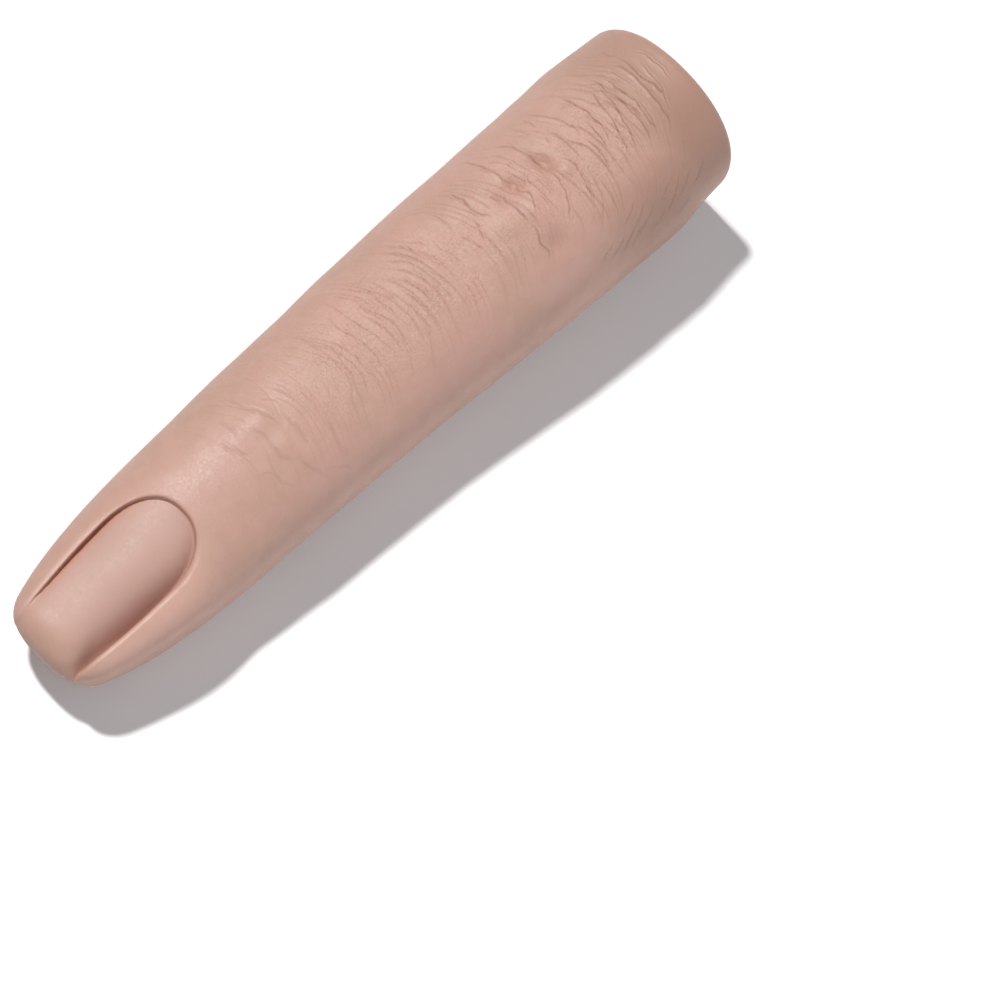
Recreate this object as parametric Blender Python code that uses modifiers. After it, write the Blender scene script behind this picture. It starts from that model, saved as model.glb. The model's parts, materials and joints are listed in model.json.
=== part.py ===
"""A nail practice finger: a silicone skin over a jointed hard core.

The finger lies on its palm side along X, fingertip at -X, nail up (+Z). Metres.
The origin is on the resting plane, half way along the finger.
"""

import math

import bmesh
import bpy
import numpy as np
from mathutils import Matrix, Vector

# The finger's three lengths, from the fingertip back
DISTAL_LENGTH = 0.0285
MIDDLE_LENGTH = 0.0350
PROXIMAL_LENGTH = 0.0215

# The skin's width and its height above the resting plane, both at the knuckle
KNUCKLE_WIDTH = 0.0198
KNUCKLE_HEIGHT = 0.0176
NOSE_LENGTH = 0.0026
NOSE_SETBACK = 0.0012
NOSE_SETBACK_LENGTH = 0.0100
RIM_RADIUS = 0.0010
SKIN_GAP = 0.0003
CORE_CLEARANCE = 0.0003

# The nail bed, a pocket cut in the tip, with a slot under its folds for a nail tip
NAIL_LENGTH = 0.0184
NAIL_WIDTH = 0.0092
NAIL_FRONT_WIDTH = 0.0076
NAIL_END_LENGTH = 0.0058
NAIL_START = 0.0008
NAIL_RAMP_LENGTH = 0.0060
NAIL_EDGE_LEAD = 0.0020
BED_CENTRE_DEPTH = 0.0005
BED_ROOT_DEPTH = 0.0014
BED_EDGE_DROP = 0.0010
SLOT_REACH = 0.0010
SLOT_HEIGHT = 0.0006
SLOT_SINK = 0.00005

# The core, whose two pivots lie at one height
CORE_HEIGHT = 0.0080
CORE_FRONT_HEIGHT = 0.0057
CORE_FRONT_INSET = 0.0080
CORE_FRONT_WIDTH = 0.0044
CORE_FRONT_THICKNESS = 0.0032
CORE_END_LENGTH = 0.0012
SHOULDER_CLEARANCE = 0.0006
FORK_FLOOR_CLEARANCE = 0.0004
FORK_ROOT_LENGTH = 0.0010
RUNNING_CLEARANCE = 0.0001
FACE_CLEARANCE = 0.00015

# The half length of the soft fold at each joint
DIP_FOLD_REACH = 0.0046
PIP_FOLD_REACH = 0.0062

# The knuckle (PIP) pivot
PIP_FORK_RADIUS = 0.0036
PIP_TONGUE_RADIUS = 0.0034
PIP_TONGUE_WIDTH = 0.0032
PIP_CHEEK_WIDTH = 0.0018
PIP_WASHER_WIDTH = 0.0005
PIP_WASHER_RADIUS = 0.0026
PIP_SCREW_RADIUS = 0.0010
PIP_HEAD_RADIUS = 0.0019
PIP_HEAD_WIDTH = 0.0014
PIP_NUT_RADIUS = 0.0023
PIP_NUT_WIDTH = 0.0015
PIP_SPRING_WIDTH = 0.0004
PIP_SCREW_END = 0.0005
PIP_SOCKET_RADIUS = 0.0009
PIP_SOCKET_DEPTH = 0.0008

# The fingertip (DIP) pivot
DIP_FORK_RADIUS = 0.0030
DIP_TONGUE_RADIUS = 0.0028
DIP_TONGUE_WIDTH = 0.0024
DIP_CHEEK_WIDTH = 0.0014
DIP_WASHER_WIDTH = 0.0004
DIP_WASHER_RADIUS = 0.0021
DIP_SCREW_RADIUS = 0.0008
DIP_HEAD_RADIUS = 0.0016
DIP_HEAD_WIDTH = 0.0012
DIP_NUT_RADIUS = 0.0019
DIP_NUT_WIDTH = 0.0012
DIP_SPRING_WIDTH = 0.0003
DIP_SCREW_END = 0.0004
DIP_SOCKET_RADIUS = 0.00075
DIP_SOCKET_DEPTH = 0.0006

# The plug in the cut rear end, and its countersunk screw
PLUG_WALL = 0.0024
PLUG_THICKNESS = 0.0030
PLUG_EDGE = 0.0003
BASE_SCREW_RADIUS = 0.0015
BASE_SCREW_LENGTH = 0.0100
BASE_HEAD_RADIUS = 0.0028
BASE_HEAD_EDGE = 0.0003
BASE_SOCKET_RADIUS = 0.0012
BASE_SOCKET_DEPTH = 0.0011

# How far any cutter runs past what it cuts
OVERRUN = 0.0010

# Shape of the skin along each length. Each row holds the station as a share of that
# length, then the width as a share of the knuckle's width, then the height of the
# widest point, of the top and of the underside as shares of the knuckle's height.
DISTAL_SHARES = (
    (0.00, 0.555, 0.340, 0.485, 0.225),
    (0.105, 0.615, 0.337, 0.525, 0.110),
    (0.21, 0.670, 0.337, 0.557, 0.040),
    (0.35, 0.745, 0.340, 0.610, -0.012),
    (0.53, 0.805, 0.353, 0.670, -0.020),
    (0.70, 0.835, 0.370, 0.733, -0.012),
    (0.88, 0.850, 0.392, 0.784, 0.024),
)
MIDDLE_SHARES = (
    (0.00, 0.865, 0.410, 0.807, 0.050),
    (0.21, 0.885, 0.415, 0.830, 0.010),
    (0.47, 0.920, 0.425, 0.870, -0.008),
    (0.73, 0.960, 0.455, 0.930, 0.015),
)
PROXIMAL_SHARES = (
    (0.00, 0.990, 0.490, 1.000, 0.060),
    (0.30, 1.005, 0.495, 1.017, 0.010),
    (0.63, 1.025, 0.495, 1.034, -0.020),
    (1.00, 0.990, 0.500, 1.045, -0.012),
)
# The core narrows between its ends: station, width and height as shares
CORE_WAIST_SHARES = (
    (0.0, 1.00, 1.00),
    (0.3, 0.84, 0.84),
    (0.7, 0.84, 0.84),
    (1.0, 1.00, 1.00),
)
# Exponents of the rounded outlines: 2 is an ellipse, more is squarer
SKIN_ROUNDNESS = 2.15
NOSE_ROUNDNESS = 2.4
NAIL_ROUNDNESS = 2.4
CORE_ROUNDNESS = 4.0

FINGER_LENGTH = DISTAL_LENGTH + MIDDLE_LENGTH + PROXIMAL_LENGTH
TIP_X = -FINGER_LENGTH / 2
REAR_X = FINGER_LENGTH / 2
DIP_X = TIP_X + DISTAL_LENGTH
PIP_X = DIP_X + MIDDLE_LENGTH

# How finely the shapes are divided
SKIN_POINTS = 48
SKIN_STEP = DISTAL_LENGTH / 14
NOSE_STEPS = 9
RIM_STEPS = 4
NAIL_POINTS = 13
NAIL_STEP = NAIL_LENGTH / 12
NAIL_END_STEPS = 12
NAIL_END_SHARE = 0.97
CORE_POINTS = 32
CORE_SECTIONS = 9
ROUND_STEPS = 24
HEX_SIDES = 6
SMOOTH_ANGLE = math.radians(35)
BEVEL_ANGLE = math.radians(60)

# Each finish is a colour, a roughness and a metallic value
SKIN_FINISH = ((0.62, 0.41, 0.32, 1.0), 0.55, 0.0)
CORE_FINISH = ((0.80, 0.76, 0.66, 1.0), 0.45, 0.0)
STEEL_FINISH = ((0.62, 0.62, 0.64, 1.0), 0.30, 1.0)
NYLON_FINISH = ((0.86, 0.86, 0.83, 1.0), 0.35, 0.0)
PLUG_FINISH = ((0.52, 0.40, 0.34, 1.0), 0.50, 0.0)


def clear_scene():
    for obj in list(bpy.data.objects):
        bpy.data.objects.remove(obj, do_unlink=True)


def new_collection(name):
    collection = bpy.data.collections.new(name)
    bpy.context.scene.collection.children.link(collection)
    return collection


clear_scene()
FINGER = new_collection("nail_practice_finger")
CUTTERS = new_collection("cutters")
CUTTERS.hide_render = True


def smooth_curve(places, values):
    """A function through the given points that never overshoots them."""
    places = np.array(places, float)
    values = np.array(values, float)
    slopes = np.diff(values) / np.diff(places)
    product = slopes[:-1] * slopes[1:]
    total = slopes[:-1] + slopes[1:]
    inner = np.where(product > 0, 2 * product / np.where(total == 0, 1, total), 0)
    tangents = np.concatenate([slopes[:1], inner, slopes[-1:]])

    def at(place):
        low = np.clip(np.searchsorted(places, place) - 1, 0, len(places) - 2)
        step = places[low + 1] - places[low]
        t = np.clip((place - places[low]) / step, 0, 1)
        start = (1 + 2 * t) * (1 - t) ** 2 * values[low] + t * (1 - t) ** 2 * step * tangents[low]
        end = t * t * (3 - 2 * t) * values[low + 1] + t * t * (t - 1) * step * tangents[low + 1]
        return start + end

    return at


def smooth_step(value):
    value = np.clip(value, 0, 1)
    return value * value * (3 - 2 * value)


def skin_rows():
    """The skin's shape tables as real sizes, measured back from the fingertip."""
    lengths = (
        (0, DISTAL_LENGTH, DISTAL_SHARES),
        (DISTAL_LENGTH, MIDDLE_LENGTH, MIDDLE_SHARES),
        (DISTAL_LENGTH + MIDDLE_LENGTH, PROXIMAL_LENGTH, PROXIMAL_SHARES),
    )
    rows = []
    for start, length, shares in lengths:
        for station, wide, *heights in shares:
            heights = [height * KNUCKLE_HEIGHT for height in heights]
            rows.append((start + station * length, wide * KNUCKLE_WIDTH / 2, *heights))
    return rows


SKIN_ROWS = skin_rows()
STATIONS = [row[0] for row in SKIN_ROWS]
HALF_WIDTH, MIDDLE_Z, TOP_Z, UNDER_Z = (
    smooth_curve(STATIONS, values) for values in list(zip(*SKIN_ROWS))[1:]
)


def superellipse(count, roundness):
    """Points of a unit outline that is square at a high roundness."""
    angles = np.arange(count) * 2 * math.pi / count
    power = 2 / roundness
    across = np.sign(np.cos(angles)) * np.abs(np.cos(angles)) ** power
    up = np.sign(np.sin(angles)) * np.abs(np.sin(angles)) ** power
    return across, up


def skin_ring(station, closing=1.0, inset=0.0, count=SKIN_POINTS):
    """One cross-section of the skin, flat where it would pass the resting plane."""
    across, up = superellipse(count, SKIN_ROUNDNESS)
    half, middle = HALF_WIDTH(station), MIDDLE_Z(station)
    above = (TOP_Z(station) - middle) * closing - inset
    below = (middle - UNDER_Z(station)) * closing - inset
    y = (half * closing - inset) * across
    z = np.maximum(middle + np.where(up > 0, above, below) * up, inset)
    fade = 1 - smooth_step(station / NOSE_SETBACK_LENGTH)
    setback = NOSE_SETBACK * fade * (closing * np.clip(-up, 0, 1)) ** 2
    return np.stack([TIP_X + station + setback, y, z], axis=1)


def core_ring(x, z, half_width, half_height, count=CORE_POINTS):
    across, up = superellipse(count, CORE_ROUNDNESS)
    return np.stack([np.full(count, x), half_width * across, z + half_height * up], axis=1)


def new_object(name, mesh, collection):
    mesh.update()
    obj = bpy.data.objects.new(name, mesh)
    collection.objects.link(obj)
    if collection is CUTTERS:
        obj.hide_render = True
        obj.display_type = "WIRE"
    return obj


def loft(name, rings, collection, pole=None):
    """A closed solid through rings of equal count, with flat ends or a pole at the first."""
    work = bmesh.new()
    loops = [[work.verts.new(point) for point in ring] for ring in rings]
    count = len(loops[0])
    for first, second in zip(loops, loops[1:]):
        for i in range(count):
            j = (i + 1) % count
            work.faces.new((first[i], first[j], second[j], second[i]))
    if pole is None:
        work.faces.new(loops[0])
    else:
        point = work.verts.new(pole)
        for i in range(count):
            work.faces.new((point, loops[0][(i + 1) % count], loops[0][i]))
    work.faces.new(loops[-1])
    bmesh.ops.remove_doubles(work, verts=work.verts, dist=SLOT_SINK / 100)
    bmesh.ops.recalc_face_normals(work, faces=work.faces)
    mesh = bpy.data.meshes.new(name)
    work.to_mesh(mesh)
    work.free()
    return new_object(name, mesh, collection)


def across_finger():
    """Turns +Z to +Y, so that a turned shape lies across the finger."""
    return Matrix.Rotation(-math.pi / 2, 4, "X")


def cylinder(name, radius, start, end, centre, collection, steps=ROUND_STEPS, along="Y"):
    """A prism of many sides between two places on its axis."""
    work = bmesh.new()
    bmesh.ops.create_cone(
        work, cap_ends=True, segments=steps, radius1=radius, radius2=radius, depth=end - start
    )
    turn = across_finger() if along == "Y" else Matrix.Rotation(math.pi / 2, 4, "Y")
    middle = (start + end) / 2
    offset = Vector((0, middle, 0)) if along == "Y" else Vector((middle, 0, 0))
    bmesh.ops.transform(work, matrix=Matrix.Translation(Vector(centre) + offset) @ turn, verts=work.verts)
    mesh = bpy.data.meshes.new(name)
    work.to_mesh(mesh)
    work.free()
    return new_object(name, mesh, collection)


def box(name, low, high, collection):
    work = bmesh.new()
    bmesh.ops.create_cube(work, size=1.0)
    low, high = Vector(low), Vector(high)
    scale = Matrix.Diagonal((*(high - low), 1.0))
    bmesh.ops.transform(work, matrix=Matrix.Translation((low + high) / 2) @ scale, verts=work.verts)
    mesh = bpy.data.meshes.new(name)
    work.to_mesh(mesh)
    work.free()
    return new_object(name, mesh, collection)


def turned(name, profile, centre, collection, along="Y"):
    """Turns a profile of (radius, place on the axis) once about its axis.

    The profile runs down its outer side. A last point equal to the first closes a ring.
    """
    closed = profile[0] == profile[-1]
    points = profile[:-1] if closed else profile
    mesh = bpy.data.meshes.new(name)
    edges = [(i, (i + 1) % len(points)) for i in range(len(points) if closed else len(points) - 1)]
    mesh.from_pydata([(radius, 0, place) for radius, place in points], edges, [])
    obj = new_object(name, mesh, collection)
    turn = obj.modifiers.new("turn", "SCREW")
    turn.axis = "Z"
    turn.steps = ROUND_STEPS
    turn.render_steps = ROUND_STEPS
    turn.use_merge_vertices = True
    turn.merge_threshold = SLOT_SINK / 100
    obj.matrix_world = Matrix.Translation(centre) @ (
        across_finger() if along == "Y" else Matrix.Rotation(math.pi / 2, 4, "Y")
    )
    return obj


def combine(obj, other, operation="DIFFERENCE"):
    step = obj.modifiers.new(other.name, "BOOLEAN")
    step.operation = operation
    step.object = other
    step.solver = "EXACT"
    return obj


def material(name, look):
    colour, roughness, metallic = look
    made = bpy.data.materials.new(name)
    made.use_nodes = True
    shader = made.node_tree.nodes["Principled BSDF"]
    shader.inputs["Base Color"].default_value = colour
    shader.inputs["Roughness"].default_value = roughness
    shader.inputs["Metallic"].default_value = metallic
    made.diffuse_color = colour
    return made


def finish(obj, look, pivot=None):
    """Gives the piece its material and smooth shading, and hangs it on its joint."""
    obj.data.materials.append(material(obj.name, look))
    obj.data.shade_smooth()
    obj.data.set_sharp_from_angle(angle=SMOOTH_ANGLE)
    if pivot is not None:
        place = obj.matrix_world.copy()
        obj.parent = pivot
        obj.matrix_world = place
        if place.is_identity:
            shift = pivot.matrix_world.translation
            obj.data.transform(Matrix.Translation(-shift))
            obj.matrix_world = Matrix.Translation(shift)
    return obj


def pivot_empty(name, x, parent=None):
    empty = bpy.data.objects.new(name, None)
    FINGER.objects.link(empty)
    empty.empty_display_size = PIP_FORK_RADIUS
    empty.location = (x, 0, CORE_HEIGHT)
    if parent is not None:
        empty.parent = parent
        empty.location = (x - parent.location.x, 0, 0)
    bpy.context.view_layer.update()
    return empty


def spaced(start, end, about):
    """Evenly spaced stations, with about this step between them."""
    return np.linspace(start, end, max(2, 1 + round((end - start) / about)))


# The core pieces

SHOULDER_PIP = PIP_FORK_RADIUS + SHOULDER_CLEARANCE
SHOULDER_DIP = DIP_FORK_RADIUS + SHOULDER_CLEARANCE
SLOT_HALF_PIP = PIP_TONGUE_WIDTH / 2 + PIP_WASHER_WIDTH + 2 * FACE_CLEARANCE
SLOT_HALF_DIP = DIP_TONGUE_WIDTH / 2 + DIP_WASHER_WIDTH + 2 * FACE_CLEARANCE
FORK_HALF_PIP = SLOT_HALF_PIP + PIP_CHEEK_WIDTH
FORK_HALF_DIP = SLOT_HALF_DIP + DIP_CHEEK_WIDTH
FORK_FLOOR_PIP = PIP_TONGUE_RADIUS + FORK_FLOOR_CLEARANCE
FORK_FLOOR_DIP = DIP_TONGUE_RADIUS + FORK_FLOOR_CLEARANCE
FORK_END_PIP = FORK_FLOOR_PIP + FORK_ROOT_LENGTH
FORK_END_DIP = FORK_FLOOR_DIP + FORK_ROOT_LENGTH
PLUG_FRONT_X = REAR_X - PLUG_THICKNESS


def waisted_rings(start, end, grow=0.0, overrun=0.0):
    """Sections of a core shaft. start and end each give x, z, half width and half height."""
    rings = []
    places, widths, heights = zip(*CORE_WAIST_SHARES)
    waist_width = smooth_curve(places, widths)
    waist_height = smooth_curve(places, heights)
    for share in np.linspace(0, 1, CORE_SECTIONS):
        x, z, half_width, half_height = (a + (b - a) * share for a, b in zip(start, end))
        x += overrun * (int(share == 1) - int(share == 0))
        width = half_width * waist_width(share) + grow
        height = half_height * waist_height(share) + grow
        rings.append(core_ring(x, z, width, height))
    return rings


def proximal_ends():
    front = (PIP_X + FORK_FLOOR_PIP, CORE_HEIGHT, FORK_HALF_PIP, PIP_FORK_RADIUS)
    rear = (PLUG_FRONT_X - CORE_CLEARANCE, CORE_HEIGHT, FORK_HALF_PIP, PIP_FORK_RADIUS)
    return front, rear


def middle_ends():
    front = (DIP_X + FORK_FLOOR_DIP, CORE_HEIGHT, FORK_HALF_DIP, DIP_FORK_RADIUS)
    rear = (PIP_X - SHOULDER_PIP, CORE_HEIGHT, FORK_HALF_DIP, PIP_TONGUE_RADIUS)
    return front, rear


def distal_rings(grow=0.0, overrun=0.0):
    """Sections of the distal core, which sinks and narrows towards the fingertip."""
    rear_x = DIP_X - SHOULDER_DIP
    front_x = TIP_X + CORE_FRONT_INSET
    rings = []
    for share in np.linspace(0, 1, CORE_SECTIONS):
        x = front_x + (rear_x - front_x) * share
        slope = smooth_step(share)
        z = CORE_FRONT_HEIGHT + (CORE_HEIGHT - CORE_FRONT_HEIGHT) * slope
        width = CORE_FRONT_WIDTH / 2 + (FORK_HALF_DIP - CORE_FRONT_WIDTH / 2) * slope
        height = CORE_FRONT_THICKNESS / 2 + (DIP_TONGUE_RADIUS - CORE_FRONT_THICKNESS / 2) * slope
        if share == 0:
            nose = core_ring(x - grow, z, width / 2 + grow, height / 2 + grow)
            rings.append(nose)
            x += CORE_END_LENGTH
        if share == 1:
            x += overrun
        rings.append(core_ring(x, z, width + grow, height + grow))
    return rings


def lug(name, pivot_x, radius, half_width, reach, collection=CUTTERS):
    """A bar with a round end about the pivot. Its flat end lies at reach, on either side."""
    side = 1 if reach > 0 else -1
    outline = [(pivot_x + reach, CORE_HEIGHT - radius)]
    for angle in np.linspace(-math.pi / 2, math.pi / 2, ROUND_STEPS // 2 + 1):
        outline.append((pivot_x - side * radius * math.cos(angle), CORE_HEIGHT + radius * math.sin(angle)))
    outline.append((pivot_x + reach, CORE_HEIGHT + radius))
    rings = [[(x, y, z) for x, z in outline] for y in (-half_width, half_width)]
    return loft(name, rings, collection)


def pivot_hole(name, pivot_x, radius):
    reach = KNUCKLE_WIDTH / 2
    return cylinder(name, radius + RUNNING_CLEARANCE, -reach, reach, (pivot_x, 0, CORE_HEIGHT), CUTTERS)


def fork_slot(name, pivot_x, half_width, floor, radius):
    return box(
        name,
        (pivot_x - radius - OVERRUN, -half_width, CORE_HEIGHT - radius - OVERRUN),
        (pivot_x + floor, half_width, CORE_HEIGHT + radius + OVERRUN),
        CUTTERS,
    )


def proximal_bone():
    bone = loft("proximal_bone", waisted_rings(*proximal_ends()), FINGER)
    combine(bone, lug("pip_fork", PIP_X, PIP_FORK_RADIUS, FORK_HALF_PIP, FORK_END_PIP), "UNION")
    combine(bone, fork_slot("pip_fork_slot", PIP_X, SLOT_HALF_PIP, FORK_FLOOR_PIP, PIP_FORK_RADIUS))
    combine(bone, pivot_hole("pip_fork_hole", PIP_X, PIP_SCREW_RADIUS))
    depth = REAR_X - BASE_SCREW_LENGTH - CORE_CLEARANCE
    hole = cylinder(
        "base_screw_hole", BASE_SCREW_RADIUS + RUNNING_CLEARANCE, depth, PLUG_FRONT_X + OVERRUN,
        (0, 0, CORE_HEIGHT), CUTTERS, along="X",
    )
    combine(bone, hole)
    return finish(bone, CORE_FINISH)


def middle_bone(pivot):
    bone = loft("middle_bone", waisted_rings(*middle_ends()), FINGER)
    combine(bone, lug("dip_fork", DIP_X, DIP_FORK_RADIUS, FORK_HALF_DIP, FORK_END_DIP), "UNION")
    tongue = lug("pip_tongue", PIP_X, PIP_TONGUE_RADIUS, PIP_TONGUE_WIDTH / 2, -SHOULDER_PIP - OVERRUN)
    combine(bone, tongue, "UNION")
    combine(bone, fork_slot("dip_fork_slot", DIP_X, SLOT_HALF_DIP, FORK_FLOOR_DIP, DIP_FORK_RADIUS))
    combine(bone, pivot_hole("dip_fork_hole", DIP_X, DIP_SCREW_RADIUS))
    combine(bone, pivot_hole("pip_tongue_hole", PIP_X, PIP_SCREW_RADIUS))
    return finish(bone, CORE_FINISH, pivot)


def distal_bone(pivot):
    bone = loft("distal_bone", distal_rings(), FINGER)
    tongue = lug("dip_tongue", DIP_X, DIP_TONGUE_RADIUS, DIP_TONGUE_WIDTH / 2, -SHOULDER_DIP - OVERRUN)
    combine(bone, tongue, "UNION")
    combine(bone, pivot_hole("dip_tongue_hole", DIP_X, DIP_SCREW_RADIUS))
    return finish(bone, CORE_FINISH, pivot)


# The pivots' hardware. Each stack runs out from the tongue: washer, cheek, then the
# screw head on one side, and the spring washer and nut on the other.


def hex_prism(name, radius, start, end, centre, collection, along="Y"):
    return cylinder(name, radius, start, end, centre, collection, HEX_SIDES, along)


def washer(name, inner, outer, start, end, centre, look, pivot):
    profile = [(outer, end), (outer, start), (inner, start), (inner, end), (outer, end)]
    ring = turned(name, profile, centre, FINGER)
    return finish(ring, look, pivot)


def socket_screw(name, radius, head, head_start, end, socket, centre, pivot):
    """A cheese-head screw along +Y with its head at -Y and a hexagon socket in it."""
    head_radius, head_width = head
    socket_radius, socket_depth = socket
    chamfer = head_width / 6
    low = -head_start - head_width
    profile = [
        (0, end), (radius - chamfer, end), (radius, end - chamfer), (radius, -head_start),
        (head_radius, -head_start), (head_radius, low + chamfer), (head_radius - chamfer, low), (0, low),
    ]
    screw = turned(name, profile, centre, FINGER)
    floor = low + socket_depth
    cutter = hex_prism(f"{name}_socket", socket_radius, low - OVERRUN, floor, centre, CUTTERS)
    combine(screw, cutter)
    return finish(screw, STEEL_FINISH, pivot)


def hex_nut(name, radius, bore, start, end, centre, pivot):
    """A hexagon nut whose corners are turned off, with a round bore."""
    nut = hex_prism(name, radius, start, end, centre, FINGER)
    chamfer = (end - start) / 5
    barrel = turned(
        f"{name}_barrel",
        [(0, end), (radius - chamfer, end), (radius, end - chamfer), (radius, start + chamfer),
         (radius - chamfer, start), (0, start)],
        centre, CUTTERS,
    )
    combine(nut, barrel, "INTERSECT")
    combine(nut, cylinder(f"{name}_bore", bore, start - OVERRUN, end + OVERRUN, centre, CUTTERS))
    return finish(nut, STEEL_FINISH, pivot)


# One pivot's sizes: screw radius, head, socket, nut, spring washer, screw end, the
# tongue's half width, washer and the fork's half width
PIP_SIZES = (
    PIP_SCREW_RADIUS, (PIP_HEAD_RADIUS, PIP_HEAD_WIDTH), (PIP_SOCKET_RADIUS, PIP_SOCKET_DEPTH),
    (PIP_NUT_RADIUS, PIP_NUT_WIDTH), PIP_SPRING_WIDTH, PIP_SCREW_END,
    PIP_TONGUE_WIDTH / 2, (PIP_WASHER_RADIUS, PIP_WASHER_WIDTH), FORK_HALF_PIP,
)
DIP_SIZES = (
    DIP_SCREW_RADIUS, (DIP_HEAD_RADIUS, DIP_HEAD_WIDTH), (DIP_SOCKET_RADIUS, DIP_SOCKET_DEPTH),
    (DIP_NUT_RADIUS, DIP_NUT_WIDTH), DIP_SPRING_WIDTH, DIP_SCREW_END,
    DIP_TONGUE_WIDTH / 2, (DIP_WASHER_RADIUS, DIP_WASHER_WIDTH), FORK_HALF_DIP,
)


def pivot_stack(joint, x, pivot, sizes):
    """One joint's screw, nut and washers, from the sizes named for that joint."""
    radius, head, socket, nut, spring, screw_end, tongue_half, disc, fork_half = sizes
    centre = (x, 0, CORE_HEIGHT)
    bore = radius + RUNNING_CLEARANCE
    inner = tongue_half + FACE_CLEARANCE
    disc_radius, disc_width = disc
    outer = inner + disc_width
    washer(f"{joint}_washer_left", bore, disc_radius, inner, outer, centre, NYLON_FINISH, pivot)
    washer(f"{joint}_washer_right", bore, disc_radius, -outer, -inner, centre, NYLON_FINISH, pivot)
    seat = fork_half + FACE_CLEARANCE
    spring_end = seat + spring
    washer(f"{joint}_spring_washer", bore, head[0], seat, spring_end, centre, STEEL_FINISH, pivot)
    nut_start = spring_end + FACE_CLEARANCE
    nut_radius, nut_width = nut
    nut_end = nut_start + nut_width
    hex_nut(f"{joint}_nut", nut_radius, bore, nut_start, nut_end, centre, pivot)
    socket_screw(f"{joint}_screw", radius, head, seat, nut_end + screw_end, socket, centre, pivot)


def hardware_reach(fork_half, head, spring, nut, end):
    """Half the width that a pivot's hardware takes up."""
    nut_side = fork_half + 2 * FACE_CLEARANCE + spring + nut + end
    return max(nut_side, fork_half + FACE_CLEARANCE + head)


PIP_REACH = hardware_reach(FORK_HALF_PIP, PIP_HEAD_WIDTH, PIP_SPRING_WIDTH, PIP_NUT_WIDTH, PIP_SCREW_END)
DIP_REACH = hardware_reach(FORK_HALF_DIP, DIP_HEAD_WIDTH, DIP_SPRING_WIDTH, DIP_NUT_WIDTH, DIP_SCREW_END)


# The rear plug


def plug_rings(start, end, grow=0.0):
    """Sections of the plug, an inset copy of the rear end's outline."""
    inset = PLUG_WALL - grow
    outline = skin_ring(FINGER_LENGTH, inset=inset, count=CORE_POINTS)
    rings = []
    for x in (start, end):
        ring = outline.copy()
        ring[:, 0] = x
        rings.append(ring)
    return rings


def base_plug():
    front = PLUG_FRONT_X
    plug = loft("base_plug", plug_rings(front, REAR_X), FINGER)
    clearance = RUNNING_CLEARANCE
    hole = cylinder(
        "plug_hole", BASE_SCREW_RADIUS + clearance, front - OVERRUN, REAR_X + OVERRUN,
        (0, 0, CORE_HEIGHT), CUTTERS, along="X",
    )
    combine(plug, hole)
    reach = BASE_HEAD_RADIUS + clearance
    neck = BASE_SCREW_RADIUS + clearance
    floor = REAR_X - BASE_HEAD_EDGE - (reach - neck) - clearance
    rim = REAR_X - BASE_HEAD_EDGE - clearance
    sink = turned(
        "plug_countersink",
        [(0, REAR_X + OVERRUN), (reach, REAR_X + OVERRUN), (reach, rim), (neck, floor), (0, floor)],
        (0, 0, CORE_HEIGHT), CUTTERS, along="X",
    )
    combine(plug, sink)
    edge = plug.modifiers.new("edge", "BEVEL")
    edge.width = PLUG_EDGE
    edge.segments = 2
    edge.limit_method = "ANGLE"
    edge.angle_limit = BEVEL_ANGLE
    plug.modifiers.move(len(plug.modifiers) - 1, 0)
    return finish(plug, PLUG_FINISH)


def base_screw():
    neck = REAR_X - BASE_HEAD_EDGE - (BASE_HEAD_RADIUS - BASE_SCREW_RADIUS)
    end = REAR_X - BASE_SCREW_LENGTH
    chamfer = BASE_SCREW_RADIUS / 3
    profile = [
        (0, REAR_X), (BASE_HEAD_RADIUS, REAR_X), (BASE_HEAD_RADIUS, REAR_X - BASE_HEAD_EDGE),
        (BASE_SCREW_RADIUS, neck), (BASE_SCREW_RADIUS, end + chamfer),
        (BASE_SCREW_RADIUS - chamfer, end), (0, end),
    ]
    screw = turned("base_screw", profile, (0, 0, CORE_HEIGHT), FINGER, along="X")
    cutter = hex_prism(
        "base_screw_socket", BASE_SOCKET_RADIUS, REAR_X - BASE_SOCKET_DEPTH, REAR_X + OVERRUN,
        (0, 0, CORE_HEIGHT), CUTTERS, along="X",
    )
    combine(screw, cutter)
    return finish(screw, STEEL_FINISH)


# The skin


def skin_between(name, start, end):
    """A plain length of skin, cut square at both ends."""
    return loft(name, [skin_ring(station) for station in spaced(start, end, SKIN_STEP)], FINGER)


def nose_stations():
    """Stations of the rounded fingertip, with how far each section has opened."""
    opened = np.sin(np.linspace(0, math.pi / 2, NOSE_STEPS)[1:])
    closeness = (1 - opened**NOSE_ROUNDNESS) ** (1 / NOSE_ROUNDNESS)
    return zip(NOSE_LENGTH * (1 - closeness), opened)


def bed_depth(station, across):
    """How far the nail bed lies under the skin's outline. across is 1 at the bed's edge."""
    ramp = smooth_step((station - NAIL_START) / NAIL_RAMP_LENGTH)
    edge_ramp = smooth_step((station + NAIL_EDGE_LEAD) / NAIL_RAMP_LENGTH)
    sink = smooth_step((station - NAIL_LENGTH / 2) / (NAIL_LENGTH / 2))
    centre = BED_CENTRE_DEPTH + (BED_ROOT_DEPTH - BED_CENTRE_DEPTH) * sink
    centre = ramp * centre - (1 - ramp) * BED_CENTRE_DEPTH / 2
    return centre + edge_ramp * BED_EDGE_DROP * (1 - sink / 2) * across**2


def skin_surface_z(station, y):
    share = np.clip(np.abs(y) / HALF_WIDTH(station), 0, 1)
    rise = (1 - share**SKIN_ROUNDNESS) ** (1 / SKIN_ROUNDNESS)
    return MIDDLE_Z(station) + (TOP_Z(station) - MIDDLE_Z(station)) * rise


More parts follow.
